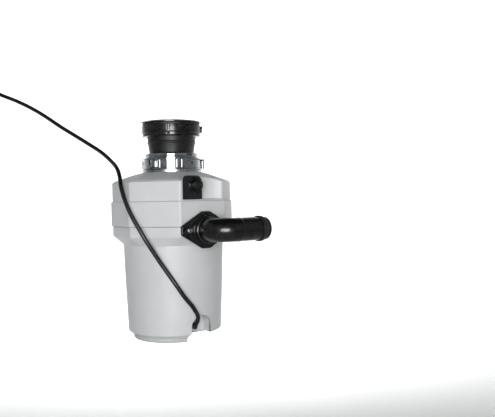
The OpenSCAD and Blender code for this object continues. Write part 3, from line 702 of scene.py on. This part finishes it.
    def lock_ears(self) -> list[Surface]:
        """One rolled tube and two flat pressed loops that a bar can push."""
        low, high = low_high("lock_ring")
        b, t = low[2], high[2]
        a = math.radians(self.tube_ear)
        wall = turned(soften([(2.2, 1), (3.4, 1), (3.4, t - b - 1), (2.2, t - b - 1)], 0.35, 3), 64)
        at = ((self.lock_r + 2) * math.cos(a), (self.lock_r + 2) * math.sin(a), b)
        ears = [placed(wall, at, (1, 0, 0), (0, 1, 0), (0, 0, 1))]
        for bearing in self.ears:
            c = math.radians(bearing)
            out, side = (math.cos(c), math.sin(c), 0), (-math.sin(c), math.cos(c), 0)
            u = angles(96)
            loop_line = np.stack([2.4 * np.cos(u), 5.2 * np.sin(u)], -1)
            wide = np.stack([3.6 * np.cos(u), 6.5 * np.sin(u)], -1)
            ring = slab(wide, b + 3.8, t - 3.8, 0.5, 3, loop_line)
            at = ((self.lock_r + 0.2) * out[0], (self.lock_r + 0.2) * out[1], 0)
            ears.append(placed(ring, at, out, side, (0, 0, 1)))
        return ears

    def build(self) -> None:
        """Makes and dresses the whole mount."""
        make_piece("mount_flange", [self.flange()], Kit.stainless, "housing", "sink_flange")
        make_piece("mount_clamp_ring", [self.clamp()], Kit.enamel, "housing", "clamp_ring", 40)
        make_piece("mount_ring_clip", self.clip(), Kit.enamel, "housing", "ring_clip")
        make_piece("mount_neck", [self.neck()], Kit.rubber, "housing", "neck_sleeve")
        make_piece("mount_upper_ring", [self.upper_ring()], Kit.chrome, "housing", "upper_ring", 40)
        make_piece("mount_lock_ring", [self.lock_ring()], Kit.chrome, "lock_ring", "lock_ring", 40)
        make_piece("mount_lock_ears", self.lock_ears(), Kit.chrome, "lock_ring", "lock_ears")
        dress(Kit.rubber, "sink_gasket", "splash_guard")
        dress(Kit.enamel, "backup_flange")
        dress(Kit.zinc, "clamp_screws")
        dress(Kit.stainless, "snap_ring")


@dataclass
class Covers:
    """The pale mouldings: sloping octagon, seam band, round shell, base, sizes in mm."""

    corner_r: float = 107.0
    corners: tuple[float, ...] = (-116.75, -73.25, -24.25, 24.25, 67.25, 111.25, 155.25, 199.25)
    proud: float = 2.4
    crispness: float = 150.0
    wall: float = 2.8
    scoop_x: float = 145.56
    scoop_r: float = 62.0
    shell_top_r: float = 89.0
    shell_foot_r: float = 83.0
    rim_r: float = 74.5
    shell_h: float = 151.5
    slope_top_r: float = 57.0
    mouth_r: float = 49.0
    arch_y: float = 2.5
    arch_r: float = 19.5
    arch_x: float = 58.0
    bay: tuple[float, float] = (12.0, -19.0)
    bearings: Array = field(init=False)

    def __post_init__(self) -> None:
        """Bearings round the octagon, closer together at its corners."""
        near = np.radians(np.array(self.corners)[:, None] + np.linspace(-2.4, 2.4, 17)[None]).ravel()
        pocket = np.radians([-24.4, -24.0, -23.6, -23.2, 23.2, 23.6, 24.0, 24.4])
        every = np.concatenate([angles(300), near % (2 * np.pi), pocket % (2 * np.pi)])
        self.bearings = np.unique(np.round(every, 4))

    def octagon(self, radius: float) -> Array:
        """Polar radius of the octagon: (sum of (cos(a - n) / d)^p)^(-1/p) over its sides.

        Args:
            radius: centre-to-corner size.

        Returns:
            The radius at each bearing; a large p keeps the corners crisp.
        """
        c = np.radians(np.array(self.corners + (self.corners[0] + 360,)))
        normal = (c[:-1] + c[1:]) / 2
        apothem = radius * np.cos((c[1:] - c[:-1]) / 2)
        facing = np.clip(np.cos(self.bearings[:, None] - normal[None]) / apothem[None], 1e-9, None)
        scale = facing.max(1)
        return 1 / (scale * ((facing / scale[:, None]) ** self.crispness).sum(1) ** (1 / self.crispness))

    def scooped(self, radius: Array, grow: float = 0.0, soft: float = 1.6) -> Array:
        """Limits a radius to the scoop's upright cylinder, with a rounded edge.

        The cylinder lies at c cos a - sqrt(R^2 - c^2 sin^2 a); the two radii meet in a
        quadratic blend that is soft mm wide.

        Args:
            radius: radius at each bearing.
            grow: how much larger the cylinder is.
            soft: width of the blend.

        Returns:
            The limited radius.
        """
        a = (self.bearings + np.pi) % (2 * np.pi) - np.pi
        size = self.scoop_r + grow
        inside = size ** 2 - (self.scoop_x * np.sin(a)) ** 2
        hit = (inside > 0) & (np.abs(a) < np.pi / 2)
        near = np.where(hit, self.scoop_x * np.cos(a) - np.sqrt(np.clip(inside, 0, None)), 1e4)
        h = np.clip(0.5 + 0.5 * (near - radius) / soft, 0, 1)
        blend = near * (1 - h) + radius * h - soft * h * (1 - h)
        return np.where(hit, blend, radius)

    def ring(self, radius: Array | float, z: float) -> Array:
        """One level loop of points at a height."""
        r = radius + 0 * self.bearings
        return np.stack([r * np.cos(self.bearings), r * np.sin(self.bearings), z + 0 * r], -1)

    def upper(self) -> Surface:
        """The top moulding: straight sides, a domed slope to the collar, and the scoop."""
        low, high = low_high("upper_cover")
        b, t = low[2], high[2]
        brim, floor_z = t - 16.5, b + 2.0
        full = self.octagon(self.corner_r)
        inner = self.octagon(self.corner_r - self.wall)
        zone = np.clip((full - self.scooped(full)) / 2, 0, 1)
        rings = [self.ring(full - 1.0, b), self.ring(full - 0.3, b + 0.35), self.ring(full, b + 1.1),
                 self.ring(full - 0.05 * zone, floor_z - 0.7), self.ring(full - 0.35 * zone, floor_z - 0.2),
                 self.ring(full - 1.0 * zone, floor_z),
                 self.ring(self.scooped(full) + 2.2 * zone, floor_z + 0.05),
                 self.ring(self.scooped(full) + 0.9 * zone, floor_z + 0.6),
                 self.ring(self.scooped(full), floor_z + 2.2)]
        rings += [self.ring(self.scooped(full), z) for z in np.linspace(floor_z + 4, brim - 1.6, 14)]
        # the slope: share w runs from octagon to circle while z climbs in a shallow dome
        w = np.concatenate([np.linspace(0, 0.05, 4), np.linspace(0.07, 1, 26)])
        edge = np.array([-0.9, -0.2, 0.35, 0.8])
        for number, share in enumerate(w):
            radius = full * (1 - share) + self.slope_top_r * share
            rise = edge[number] if number < 4 else 0.8 + (t - brim - 0.8) * (1 - (1 - share) ** 1.16)
            rings.append(self.ring(self.scooped(radius), brim + rise))
        rings += [self.ring(self.slope_top_r - 1.8, t), self.ring(self.mouth_r, t),
                  self.ring(self.mouth_r, t - self.wall)]
        for share in np.linspace(0.95, 0.0, 14):
            radius = inner * (1 - share) + 54.5 * share
            rise = (t - brim) * (1 - (1 - share) ** 1.16)
            rings.append(self.ring(self.scooped(radius, self.wall, 0.5), brim - self.wall + rise))
        rings += [self.ring(self.scooped(inner, self.wall, 0.5), z) for z in (brim - 8, floor_z - self.wall)]
        rings += [self.ring(inner, floor_z - self.wall - 0.1), self.ring(inner, b)]
        return loft(np.array(rings), loop=True)

    def band(self) -> Surface:
        """The seam band: the octagon again, 2.4 mm proud, with eased edges."""
        low, high = low_high("seam_band")
        b, t = low[2], high[2]
        full, inner = self.octagon(self.corner_r + self.proud), self.octagon(self.corner_r - self.wall)
        rings = [self.ring(inner, b), self.ring(full - 2.2, b), self.ring(full - 0.8, b + 0.3),
                 self.ring(full - 0.1, b + 1.0), self.ring(full, b + 1.8)]
        rings += [self.ring(full, z) for z in np.linspace(b + 4, t - 4, 8)]
        rings += [self.ring(full, t - 1.8), self.ring(full - 0.1, t - 1.0), self.ring(full - 0.8, t - 0.3),
                  self.ring(full - 2.2, t), self.ring(inner, t)]
        return loft(np.array(rings), loop=True)

    def shell_wall(self, shrink: float) -> list[Array]:
        """Loops down the lower shell: octagon, slanted change to round, long taper, foot.

        Args:
            shrink: wall thickness taken off for the inner side, or 0.

        Returns:
            The loops from top to bottom.
        """
        low, high = low_high("lower_shell")
        b, t = low[2], high[2]
        oct_b, round_t, foot = t - 17, t - 32.5, b + 7
        full = self.octagon(self.corner_r - shrink)
        top = self.shell_top_r - shrink
        rings = []
        for share in (0.0, 0.03, 0.08, 0.5, 0.93, 0.98, 1.0):
            z = oct_b + (round_t - oct_b) * share
            ease = 0.35 if share == 0.0 else 0.0
            rings.append(self.ring(full * (1 - share) + top * share - ease, z - shrink * 0.3))
        for share in np.linspace(0.02, 1, 12):
            z = round_t + (foot - round_t) * share
            rings.append(self.ring(top + (self.shell_foot_r - self.shell_top_r) * share, z))
        rings += [self.ring(self.shell_foot_r - shrink - 0.5, foot - 0.7),
                  self.ring(self.rim_r - shrink + 0.6, b + 0.7), self.ring(self.rim_r - shrink - 0.1, b)]
        return rings

    def shell(self) -> Surface:
        """The motor shell: an outer and an inner wall, closed at the seam and the foot."""
        t = low_high("lower_shell")[1][2]
        full = self.octagon(self.corner_r)
        inner = self.octagon(self.corner_r - self.wall)
        outer = [self.ring(full - 1.2, t - 0.3), self.ring(full - 0.4, t - 0.7), self.ring(full, t - 1.6),
                 self.ring(full, t - 9), self.ring(full, t - 16)] + self.shell_wall(0.0)
        bore = [self.ring(inner, t - 0.3), self.ring(inner, t - 14)] + self.shell_wall(self.wall)
        return loft(np.array(outer + bore[::-1]), loop=True)

    def arch_line(self, grow: float, foot: float) -> Array:
        """The pocket's arch as (y, z): up one side, a half circle, down the other."""
        top = low_high("lower_shell")[0][2] + 7 + 32 - self.arch_r
        turn = np.linspace(0, np.pi, 25)
        r = self.arch_r + grow
        crown = np.stack([self.arch_y - r * np.cos(turn), top + r * np.sin(turn)], -1)
        left = np.stack([np.full(5, self.arch_y - r), np.linspace(foot, top - 1, 5)], -1)
        right = np.stack([np.full(5, self.arch_y + r), np.linspace(top - 1, foot, 5)], -1)
        return np.vstack([left, crown, right])

    def arch_block(self, grow: float, x0: float, x1: float, foot: float) -> Surface:
        """The arch pushed along X from x0 to x1, closed."""
        line = self.arch_line(grow, foot)
        rings = [np.column_stack([np.full(len(line), x), line]) for x in (x0, x1)]
        return loft(np.array(rings))

    def pocket(self) -> list[Surface]:
        """The pocket's lining: an arch-shaped wall 2.4 mm thick and its back plate.

        The wall's front edge follows the shell: x = sqrt(R(z)^2 - y^2), just inside it.
        """
        foot = low_high("lower_shell")[0][2] + 6.1
        base = low_high("lower_shell")[0][2] + 7
        inside, outside = self.arch_line(0.0, foot), self.arch_line(2.4, foot)

        def front(line: Array) -> Array:
            """The shell's X at each (y, z)."""
            taper = (self.shell_top_r - self.shell_foot_r) / self.shell_h
            radius = self.shell_foot_r + taper * (line[:, 1] - base) + 0.75
            return np.sqrt(radius ** 2 - line[:, 0] ** 2)

        rear = np.full(len(inside), self.arch_x - 2.4)
        columns = [np.column_stack([x, line]) for x, line in (
            (front(inside), inside), (rear, inside), (rear, outside), (front(outside), outside))]
        wall = loft(np.array(columns).transpose(1, 0, 2))
        return [wall, self.arch_block(1.2, self.arch_x - 2.4, self.arch_x, foot)]

    def bay_block(self) -> Surface:
        """The wiring bay cut from the underside, as a plain block."""
        low = low_high("lower_shell")[0][2]
        return rounded_box((90, 110, 24), (self.bay[0] + 45, self.bay[1] + 55, low + 6 - 12), 0.2, 0.05)

    def build(self) -> None:
        """Makes and dresses the mouldings."""
        low = low_high("lower_shell")[0][2]
        make_piece("cover_top", [self.upper()], Kit.cover, "housing", "upper_cover", 40)
        make_piece("cover_band", [self.band()], Kit.cover, "housing", "seam_band", 40)
        make_piece("cover_shell", [self.shell()], Kit.cover, "housing", "lower_shell", 30,
                   [self.arch_block(0.0, self.arch_x + 4, self.arch_x + 50, low - 8), self.bay_block()])
        make_piece("cover_pocket", self.pocket(), Kit.cover, "housing", "lower_shell", 30,
                   stands_for=False)
        dress(Kit.base, "base_cap")
        dress(Kit.zinc, "terminal_plate")
        dress(Kit.green, "terminal_screw")
        dress(Kit.rubber, "overload_switch")
        dress(Kit.red, "reset_button")


@dataclass
class Inlet:
    """The dishwasher inlet in the scoop: block, spigot and cap, sizes in mm."""

    face_x: float = 97.56
    y: float = -14.0
    start_x: float = 73.5
    boss_r: float = 13.5
    cap_r: float = 9.6

    def block(self) -> Surface:
        """The rubber block: a rounded square whose back follows the scoop's cylinder."""
        low, high = low_high("inlet_block")
        w, h = (high[1] - low[1]) / 2, (high[2] - low[2]) / 2
        mid = ((high[1] + low[1]) / 2, (high[2] + low[2]) / 2)
        outline = soften([(-w, -h), (w, -h), (w, h), (-w, h)], [1.5, 1.5, 12, 12], 10)
        steps = np.array([0.0, 0.02, 0.10, 0.5, 0.93, 0.98, 1.0])
        pull = np.array([0.0, 0.0, 0.0, 0.0, 0.1, 0.45, 1.2])
        rings = []
        for share, inset in zip(steps, pull):
            yz = outline * (1 - inset / max(w, h)) + mid
            back = 145.56 - np.sqrt(61.7 ** 2 - yz[:, 0] ** 2)
            x = back * (1 - share) + (self.face_x - 0.2) * share
            rings.append(np.column_stack([x, yz]))
        return loft(np.array(rings))

    def spigot(self) -> Surface:
        """The nylon spigot with its wide collar against the block."""
        z = (low_high("inlet_spigot")[0][2] + low_high("inlet_spigot")[1][2]) / 2
        reach, seat = self.face_x + 8 - self.start_x, self.face_x - 0.2 - self.start_x
        corners = [(6, 0), (8, 0), (8, seat), (self.boss_r, seat), (self.boss_r, seat + 2.8), (8, seat + 2.8),
                   (8, reach), (6, reach)]
        rows = soften(corners, [0.2, 0.2, 0.2, 0.3, 1.0, 0.6, 0.6, 0.2], 5)
        return along_x(turned(rows, 96), (self.start_x, self.y, z))

    def cap(self) -> Surface:
        """The rubber cap: a cup with a bead round its mouth and a raised disc on its end."""
        z = (low_high("inlet_cap")[0][2] + low_high("inlet_cap")[1][2]) / 2
        r = self.cap_r
        corners = [(0, 5.4), (8.05, 5.4), (8.05, 0), (r, 0), (r, 1.6), (r - 0.5, 2.2), (r - 0.3, 7.3),
                   (8.2, 7.3), (8.0, 8.5), (5.4, 8.5), (5.2, 7.7), (0, 7.7)]
        rows = soften(corners, [0, 0.4, 0.2, 0.5, 0.5, 0.5, 1.2, 0.3, 0.5, 0.5, 0.3, 0], 4)
        rows = rows[(rows[:, 0] > 0.01)]
        rows = np.vstack([[0.01, 5.4], rows, [0.01, 7.7]])
        return along_x(solid_turned(rows, 96), (self.face_x + 2.9, self.y, z))

    def build(self) -> None:
        """Makes and dresses the inlet."""
        make_piece("inlet_rubber_block", [self.block()], Kit.rubber, "housing", "inlet_block")
        make_piece("inlet_nylon_spigot", [self.spigot()], Kit.abs_gloss, "housing", "inlet_spigot")
        make_piece("inlet_rubber_cap", [self.cap()], Kit.abs_gloss, "cap", "inlet_cap")


@dataclass
class Outlet:
    """The two-bolt flange, its bolts, the elbow and the seal ring, sizes in mm."""

    tube_r: float = 20.0
    bore_r: float = 17.4
    bend_r: float = 30.0
    bolt_y: float = 33.5
    opening_r: float = 23.45

    def flange(self) -> list[Surface]:
        """The pressed flange plate with its raised round seat."""
        low, top = low_high("outlet_flange")
        x, z = low[0], (low[2] + top[2]) / 2
        corners = [(-48, -7.5), (-8, -31), (8, -31), (48, -7.5), (48, 7.5), (8, 31), (-8, 31), (-48, 7.5)]
        fine = soften(corners, 2.0, 6)
        bearing = np.arctan2(fine[:, 1], fine[:, 0])
        order = np.argsort(bearing)
        a = angles(240) - np.pi
        ends = fine[order], np.roll(fine[order], -1, 0)
        dense = np.linspace(*ends, 12, endpoint=False, axis=1).reshape(-1, 2)
        bearing = np.unwrap(np.arctan2(dense[:, 1], dense[:, 0]))
        reach = np.interp(a, bearing, np.hypot(*dense.T), period=2 * np.pi)
        outline = np.stack([reach * np.cos(a), reach * np.sin(a)], -1)
        hole = self.opening_r * np.stack([np.cos(a), np.sin(a)], -1)
        plate = slab(outline, 0, 5, 1.1, 4, hole)
        rows = [(20.06, 3), (25.5, 3), (25.5, 5.1), (24.6, 6), (20.06, 6)]
        seat = turned(soften(rows, [0.1, 0.1, 0.5, 0.5, 0.2], 4), 160)
        return [along_x(plate, (x, 0, z)), along_x(seat, (x, 0, z))]

    def bolts(self) -> list[Surface]:
        """Two hexagon heads with a chamfered crown and their shanks."""
        low, top = low_high("outlet_flange")
        x, z = low[0], (low[2] + top[2]) / 2
        made = []
        a = angles(72)
        side = 4.15 / np.cos((a + np.pi / 6) % (np.pi / 3) - np.pi / 6)
        for y in (-self.bolt_y, self.bolt_y):
            rings = []
            for depth, share in ((5.05, 1.0), (7.4, 1.0), (8.0, 0.94), (8.4, 0.80), (8.4, 0.3), (7.7, 0.24)):
                r = np.minimum(side * share, 4.7 * share + 0.05)
                rings.append(np.stack([r * np.cos(a), r * np.sin(a), np.full(72, depth)], -1))
            shank = [np.stack([2.6 * np.cos(a), 2.6 * np.sin(a), np.full(72, d)], -1) for d in (-9.5, 5.05)]
            made.append(along_x(loft(np.array(shank + rings)), (x, y, z)))
        return made

    def centreline(self) -> Array:
        """Straight out of the outlet, a quarter bend of 30 mm radius, then the tail.

        The bend is (x0 + R sin t, R - R cos t) in plan.
        """
        low, high = low_high("elbow")
        x0 = high[0] - self.tube_r - self.bend_r
        z = (low[2] + high[2]) / 2
        out = np.array([(x, 0, z) for x in np.linspace(low[0], x0, 26)])
        t = np.linspace(0, np.pi / 2, 29)[1:]
        bend = np.stack([x0 + self.bend_r * np.sin(t), self.bend_r * (1 - np.cos(t)), z + 0 * t], -1)
        tail = np.array([(x0 + self.bend_r, y, z) for y in np.linspace(self.bend_r, high[1], 50)[1:]])
        return np.vstack([out, bend, tail])

    def elbow(self) -> Surface:
        """The moulded elbow: a hollow tube with two collars at its mouth and a joint ridge."""
        path = self.centreline()
        x = path[:, 0] - path[0, 0]
        first = np.arange(len(path)) < 26
        outer = np.full(len(path), self.tube_r)
        outer = np.where(first & (x < 2.5), 23.3, outer)
        crown = 23.0 - 0.9 * np.abs((x - 8.2) / 2.5) ** 4
        outer = np.where(first & (x > 5.7) & (x < 10.9), np.clip(crown, self.tube_r, 23.0), outer)
        y = path[:, 1]
        outer = np.where(~first & (y > self.bend_r + 1) & (y < self.bend_r + 3.6), self.tube_r + 0.5, outer)
        outer = np.where(y > path[-1, 1] - 7.9, self.tube_r - 0.3, outer)
        outer = np.where(y > path[-1, 1] - 0.7, self.tube_r - 0.8, outer)
        return swept(path, outer, self.bore_r, 96)

    def seal(self) -> Surface:
        """The seal ring on the tail: a flat bead with two soft lips."""
        low, high = low_high("tail_ring")
        x, z = (low[0] + high[0]) / 2, (low[2] + high[2]) / 2
        r = self.tube_r
        rows = soften([(r, 0), (r + 1.7, 0.2), (r + 2, 2.2), (r + 1.3, 3.4), (r + 1.9, 4.6), (r + 1.6, 7.6),
                       (r + 0.7, 9), (r, 9)], 0.6, 4)
        return placed(turned(rows, 128), (x, low[1], z), (0, 0, 1), (1, 0, 0), (0, 1, 0))

    def build(self) -> None:
        """Makes and dresses the outlet."""
        make_piece("outlet_plate", self.flange(), Kit.enamel, "housing", "outlet_flange")
        make_piece("outlet_bolts", self.bolts(), Kit.zinc, "housing", "flange_bolts")
        make_piece("outlet_elbow", [self.elbow()], Kit.abs_gloss, "elbow", "elbow", 40)
        make_piece("outlet_seal_ring", [self.seal()], Kit.rubber, "elbow", "tail_ring")
        dress(Kit.rubber, "outlet_gasket")


@dataclass
class Lead:
    """The mains lead with its gland, boot and plug, sizes in mm."""

    diameter: float = 7.2
    exit: tuple[float, float, float] = (74.36, -4.0, -349.63)
    route: tuple[tuple[float, float, float], ...] = (
        (74.36, -4, -349.63), (76.6, -4, -347.69), (79.4, -4.2, -345.2), (82.8, -5, -341.9),
        (86.4, -6.5, -337.6), (88.8, -8.5, -332.9), (90, -11.5, -327.8), (90.2, -16, -321),
        (90.6, -22, -313), (88.5, -32.5, -300), (85, -44, -282), (78.5, -54, -264), (72, -67, -242),
        (68, -79, -222), (64, -90, -203), (58, -98, -185), (49, -105, -166), (40, -110, -147),
        (31, -112.5, -128), (22, -112.5, -111), (10, -108.5, -95), (-8, -104.5, -80),
        (-33, -102.5, -67), (-64, -105.5, -50), (-95, -114, -34), (-128, -128, -15), (-160, -143, 4),
        (-193, -158, 25), (-225, -174, 44), (-258, -192, 61), (-292, -211, 76), (-322, -228, 92),
        (-345, -242, 112), (-358, -250, 138), (-362, -253, 168), (-362, -253, 200))
    plug_turn: float = 149.25
    lean: float = 41.0

    def sheath(self) -> bpy.types.Object:
        """The lead itself: a solid tube swept along the route."""
        path = spline(np.array(self.route, float), 6)
        piece = make_piece("lead_sheath", [swept(path, self.diameter / 2, None, 20)], Kit.sheath, "housing",
                           "power_cord", 60)
        plug = self.plug()
        return piece

    def plug(self) -> list[bpy.types.Object]:
        """A fused three-pin plug: rounded body, bevelled cover, cord grip."""
        at = np.array(self.route[-1], float)
        c, s = math.cos(math.radians(self.plug_turn)), math.sin(math.radians(self.plug_turn))
        axes = ((c, s, 0), (-s, c, 0), (0, 0, 1))
        face = [(-16, 2), (16, 2), (25, 9), (25, 42), (20, 48), (-20, 48), (-25, 42), (-25, 9)]
        shell = slab(soften(face, 4.5, 5), -7, 7, 1.4, 4)
        face = [(-15, 10), (15, 10), (23, 15), (23, 40), (18, 46), (-18, 46), (-23, 40), (-23, 15)]
        lid = slab(soften(face, 4.5, 5), 7, 12.9, 2.2, 4)
        rows = [(0.01, 0), (5.2, 0), (6.0, 1.0), (6.0, 5), (0.01, 5)]
        grip = solid_turned(soften(rows, [0, 0.6, 0.6, 0.1, 0], 4), 48)
        turn = ((0, 1, 0), (0, 0, 1), (1, 0, 0))
        body = [placed(placed(shell, (0, 0, 0), *turn), at, *axes), placed(grip, at, *axes)]
        flip = placed(lid, (0, 0, 0), (0, -1, 0), (0, 0, 1), (-1, 0, 0))
        return [make_piece("lead_plug_body", body, Kit.abs_gloss, "housing", "plug_body"),
                make_piece("lead_plug_cover", [placed(flip, at, *axes)], Kit.abs_gloss, "housing",
                           "plug_cover")]

    def leaning(self, surface: Surface, along: float) -> Surface:
        """Carries a surface made about Z onto the gland's axis, which leans 41 degrees up from +X."""
        low, high = low_high("gland_nut")
        c, s = math.cos(math.radians(self.lean)), math.sin(math.radians(self.lean))
        foot = np.array([low[0] + 11, (low[1] + high[1]) / 2, (low[2] + high[2]) / 2])
        at = foot + along * np.array([c, 0, s])
        return placed(surface, at, (s, 0, -c), (0, 1, 0), (c, 0, s))

    def gland(self) -> None:
        """The grey gland with its hexagon and stub, and the ribbed rubber boot."""
        low, high = low_high("gland_nut")
        y, z = (low[1] + high[1]) / 2, (low[2] + high[2]) / 2
        a = angles(96)
        hexagon = 6.06 / np.cos((a + np.pi / 6) % (np.pi / 3) - np.pi / 6)
        rows = [(-1, 5.6, 0), (-0.4, 6.2, 0), (0.45, 6.2, 0), (0.5, 6.6, 1), (1.0, 7.0, 1), (4.5, 7.0, 1),
                (5.0, 6.6, 1), (5.05, 6.2, 0), (7.4, 6.2, 0), (8.0, 5.7, 0)]
        rings = []
        for depth, radius, six in rows:
            r = np.minimum(hexagon, radius) if six else radius + 0 * a
            rings.append(np.stack([r * np.cos(a), r * np.sin(a), depth + 0 * a], -1))
        stub = solid_turned(np.array([(0.01, 0), (4.6, 0), (4.6, 10.6), (0.01, 10.6)]), 48)
        parts = [self.leaning(loft(np.array(rings)), 0), along_x(stub, (low[0], y, z))]
        make_piece("lead_gland", parts, Kit.nylon, "housing", "gland_body")
        ribs = [(0.01, 0), (6.1, 0), (6.1, 1.2), (5.5, 1.7), (5.7, 2.5), (5.1, 3.0), (5.2, 3.8), (4.6, 4.3),
                (4.7, 5.1), (4.3, 5.6), (4.3, 6.6), (3.9, 7), (0.01, 7)]
        boot = solid_turned(soften(ribs, [0] + [0.35] * 11 + [0], 3), 64)
        make_piece("lead_boot", [self.leaning(boot, 8)], Kit.rubber, "housing", "gland_boot")
        dress(Kit.nylon, "gland_nut")
        dress(Kit.brass, "plug_pins")
        dress(Kit.zinc, "plug_screw")


class Inside:
    """The parts behind the covers, which keep their CAD meshes."""

    def build(self) -> None:
        """Dresses the grinding chamber, the drive and the motor."""
        dress(Kit.stainless, "chamber_collar", "chamber_cone", "grind_chamber", "grind_ring", "turntable")
        dress(Kit.casting, "impeller_a", "impeller_b", "impeller_pins")
        dress(Kit.zinc, "shaft_nut", "body_bolts", "frame_screws")
        dress(Kit.ground, "shaft", "upper_bearing", "lower_bearing")
        dress(Kit.rubber, "shaft_seal")
        dress(Kit.diecast, "discharge_housing", "discharge_floor", "discharge_spout", "end_frame",
              "motor_can")
        dress(Kit.laminate, "stator_core", "rotor_core")
        dress(Kit.copper, "stator_coils")
        dress(Kit.foam, "sound_liner")


@dataclass
class Studio:
    """Camera, pale floor and soft lights. Distances in metres, angles in degrees."""

    azimuth: float = 59.25
    distance: float = 1.15
    height: float = -0.1344
    yaw: float = 6.72
    pitch: float = 1.0
    roll: float = 1.1
    focal_px: float = 633.0
    floor_z: float = -0.72

    def camera(self) -> None:
        """Looks along the horizon from the right front, with the object left of centre."""
        a, y, p, r = (math.radians(v) for v in (self.azimuth, self.yaw, self.pitch, self.roll))
        right = np.array([math.cos(a), math.sin(a), 0.0])
        ahead = np.array([-math.sin(a), math.cos(a), 0.0])
        up = np.array([0.0, 0.0, 1.0])
        ahead, right = ahead * math.cos(y) + right * math.sin(y), right * math.cos(y) - ahead * math.sin(y)
        ahead, up = ahead * math.cos(p) - up * math.sin(p), up * math.cos(p) + ahead * math.sin(p)
        right, up = right * math.cos(r) - up * math.sin(r), up * math.cos(r) + right * math.sin(r)
        data = bpy.data.cameras.new("view")
        data.sensor_width = 36.0
        data.lens = self.focal_px * 36.0 / 495.0
        data.clip_start, data.clip_end = 0.05, 60.0
        camera = bpy.data.objects.new("view", data)
        bpy.context.scene.collection.objects.link(camera)
        place = np.eye(4)
        place[:3, 0], place[:3, 1], place[:3, 2] = right, up, -ahead
        place[:3, 3] = (self.distance * math.sin(a), -self.distance * math.cos(a), self.height)
        camera.matrix_world = Matrix(place.tolist())
        bpy.context.scene.camera = camera

    def backdrop(self) -> None:
        """A pale paper sweep: floor, a large quarter curve, then a wall, as one sheet.

        Its section is (d, 0) out to 2.6 m, then (2.6 + R sin t, R - R cos t), then upright;
        it is spun half a turn about the object so that every view has it behind.
        """
        t = np.linspace(0, np.pi / 2, 16)
        radius = 1.6
        d = np.concatenate([[0.0, 1.2, 2.6], 2.6 + radius * np.sin(t[1:]), [4.2]])
        h = np.concatenate([[0.0, 0.0, 0.0], radius - radius * np.cos(t[1:]), [5.5]])
        a = angles(96)
        x, y = d[:, None] * np.cos(a), d[:, None] * np.sin(a)
        ring = np.stack([x, y, self.floor_z + h[:, None] + 0 * a], -1)
        m, n, _ = ring.shape
        index = np.arange(m * n).reshape(m, n)
        faces = np.stack([index[:-1], np.roll(index[:-1], -1, 1), np.roll(index[1:], -1, 1), index[1:]], -1)
        mesh = bpy.data.meshes.new("paper_sweep")
        mesh.from_pydata(ring.reshape(-1, 3).tolist(), [], faces.reshape(-1, 4).tolist())
        mesh.validate()
        mesh.polygons.foreach_set("use_smooth", np.ones(len(mesh.polygons), bool))
        obj = bpy.data.objects.new("paper_sweep", mesh)
        bpy.context.scene.collection.objects.link(obj)
        paper = Finish("matt_pale_paper", "#DCDDDD", "#D9DADA", 0.9, grain_mm=2.0, depth_mm=0.01,
                       mottle_mm=400)
        mesh.materials.append(paper.build())

    def light(self, name: str, bearing: float, height: float, reach: float, size: tuple[float, float],
              power: float, away: bool = False) -> None:
        """One soft rectangular light, aimed at the body or at the paper behind it.

        Args:
            name: the light's name.
            bearing: degrees to the right of the camera's side, as the camera sees it.
            height: height in metres.
            reach: distance from the axis in metres.
            size: width and height in metres.
            power: watts.
            away: True aims it outward, at the paper.
        """
        data = bpy.data.lights.new(name, "AREA")
        data.shape, data.size, data.size_y, data.energy = "RECTANGLE", size[0], size[1], power
        data.spread = math.radians(140 if away else 80)
        obj = bpy.data.objects.new(name, data)
        bpy.context.scene.collection.objects.link(obj)
        a = math.radians(self.azimuth + bearing)
        place = Vector((reach * math.sin(a), -reach * math.cos(a), height))
        obj.location = place
        target = Vector((3.6 * math.sin(a), -3.6 * math.cos(a), -0.2)) if away else Vector((0, 0, -0.19))
        obj.rotation_euler = (target - place).to_track_quat("-Z", "Y").to_euler()

    def build(self) -> None:
        """Sets the camera, the backdrop, the lights and a dim grey surround."""
        self.camera()
        self.backdrop()
        # the key lights the body; the other two wash the paper behind it
        self.light("key", -4, -0.12, 1.9, (1.0, 0.8), 6.2)
        self.light("paper_right", 160, 1.5, 0.7, (0.8, 0.8), 84, away=True)
        self.light("paper_left", -168, 1.5, 0.7, (0.8, 0.8), 84, away=True)
        bpy.context.scene.view_settings.view_transform = "Standard"
        world = bpy.data.worlds.new("surround")
        bpy.context.scene.world = world
        world.use_nodes = True
        back = world.node_tree.nodes["Background"]
        back.inputs["Color"].default_value = (0.80, 0.81, 0.82, 1)
        back.inputs["Strength"].default_value = 0.03


def main() -> None:
    """Builds the camera, the lead, then each sub-assembly."""
    logging.basicConfig(level=logging.INFO, format="%(name)s: %(message)s")
    Studio().build()
    lead = Lead()
    lead.sheath()
    lead.gland()
    SinkMount().build()
    Covers().build()
    Inlet().build()
    Outlet().build()
    Inside().build()


if __name__ == "__main__":
    main()
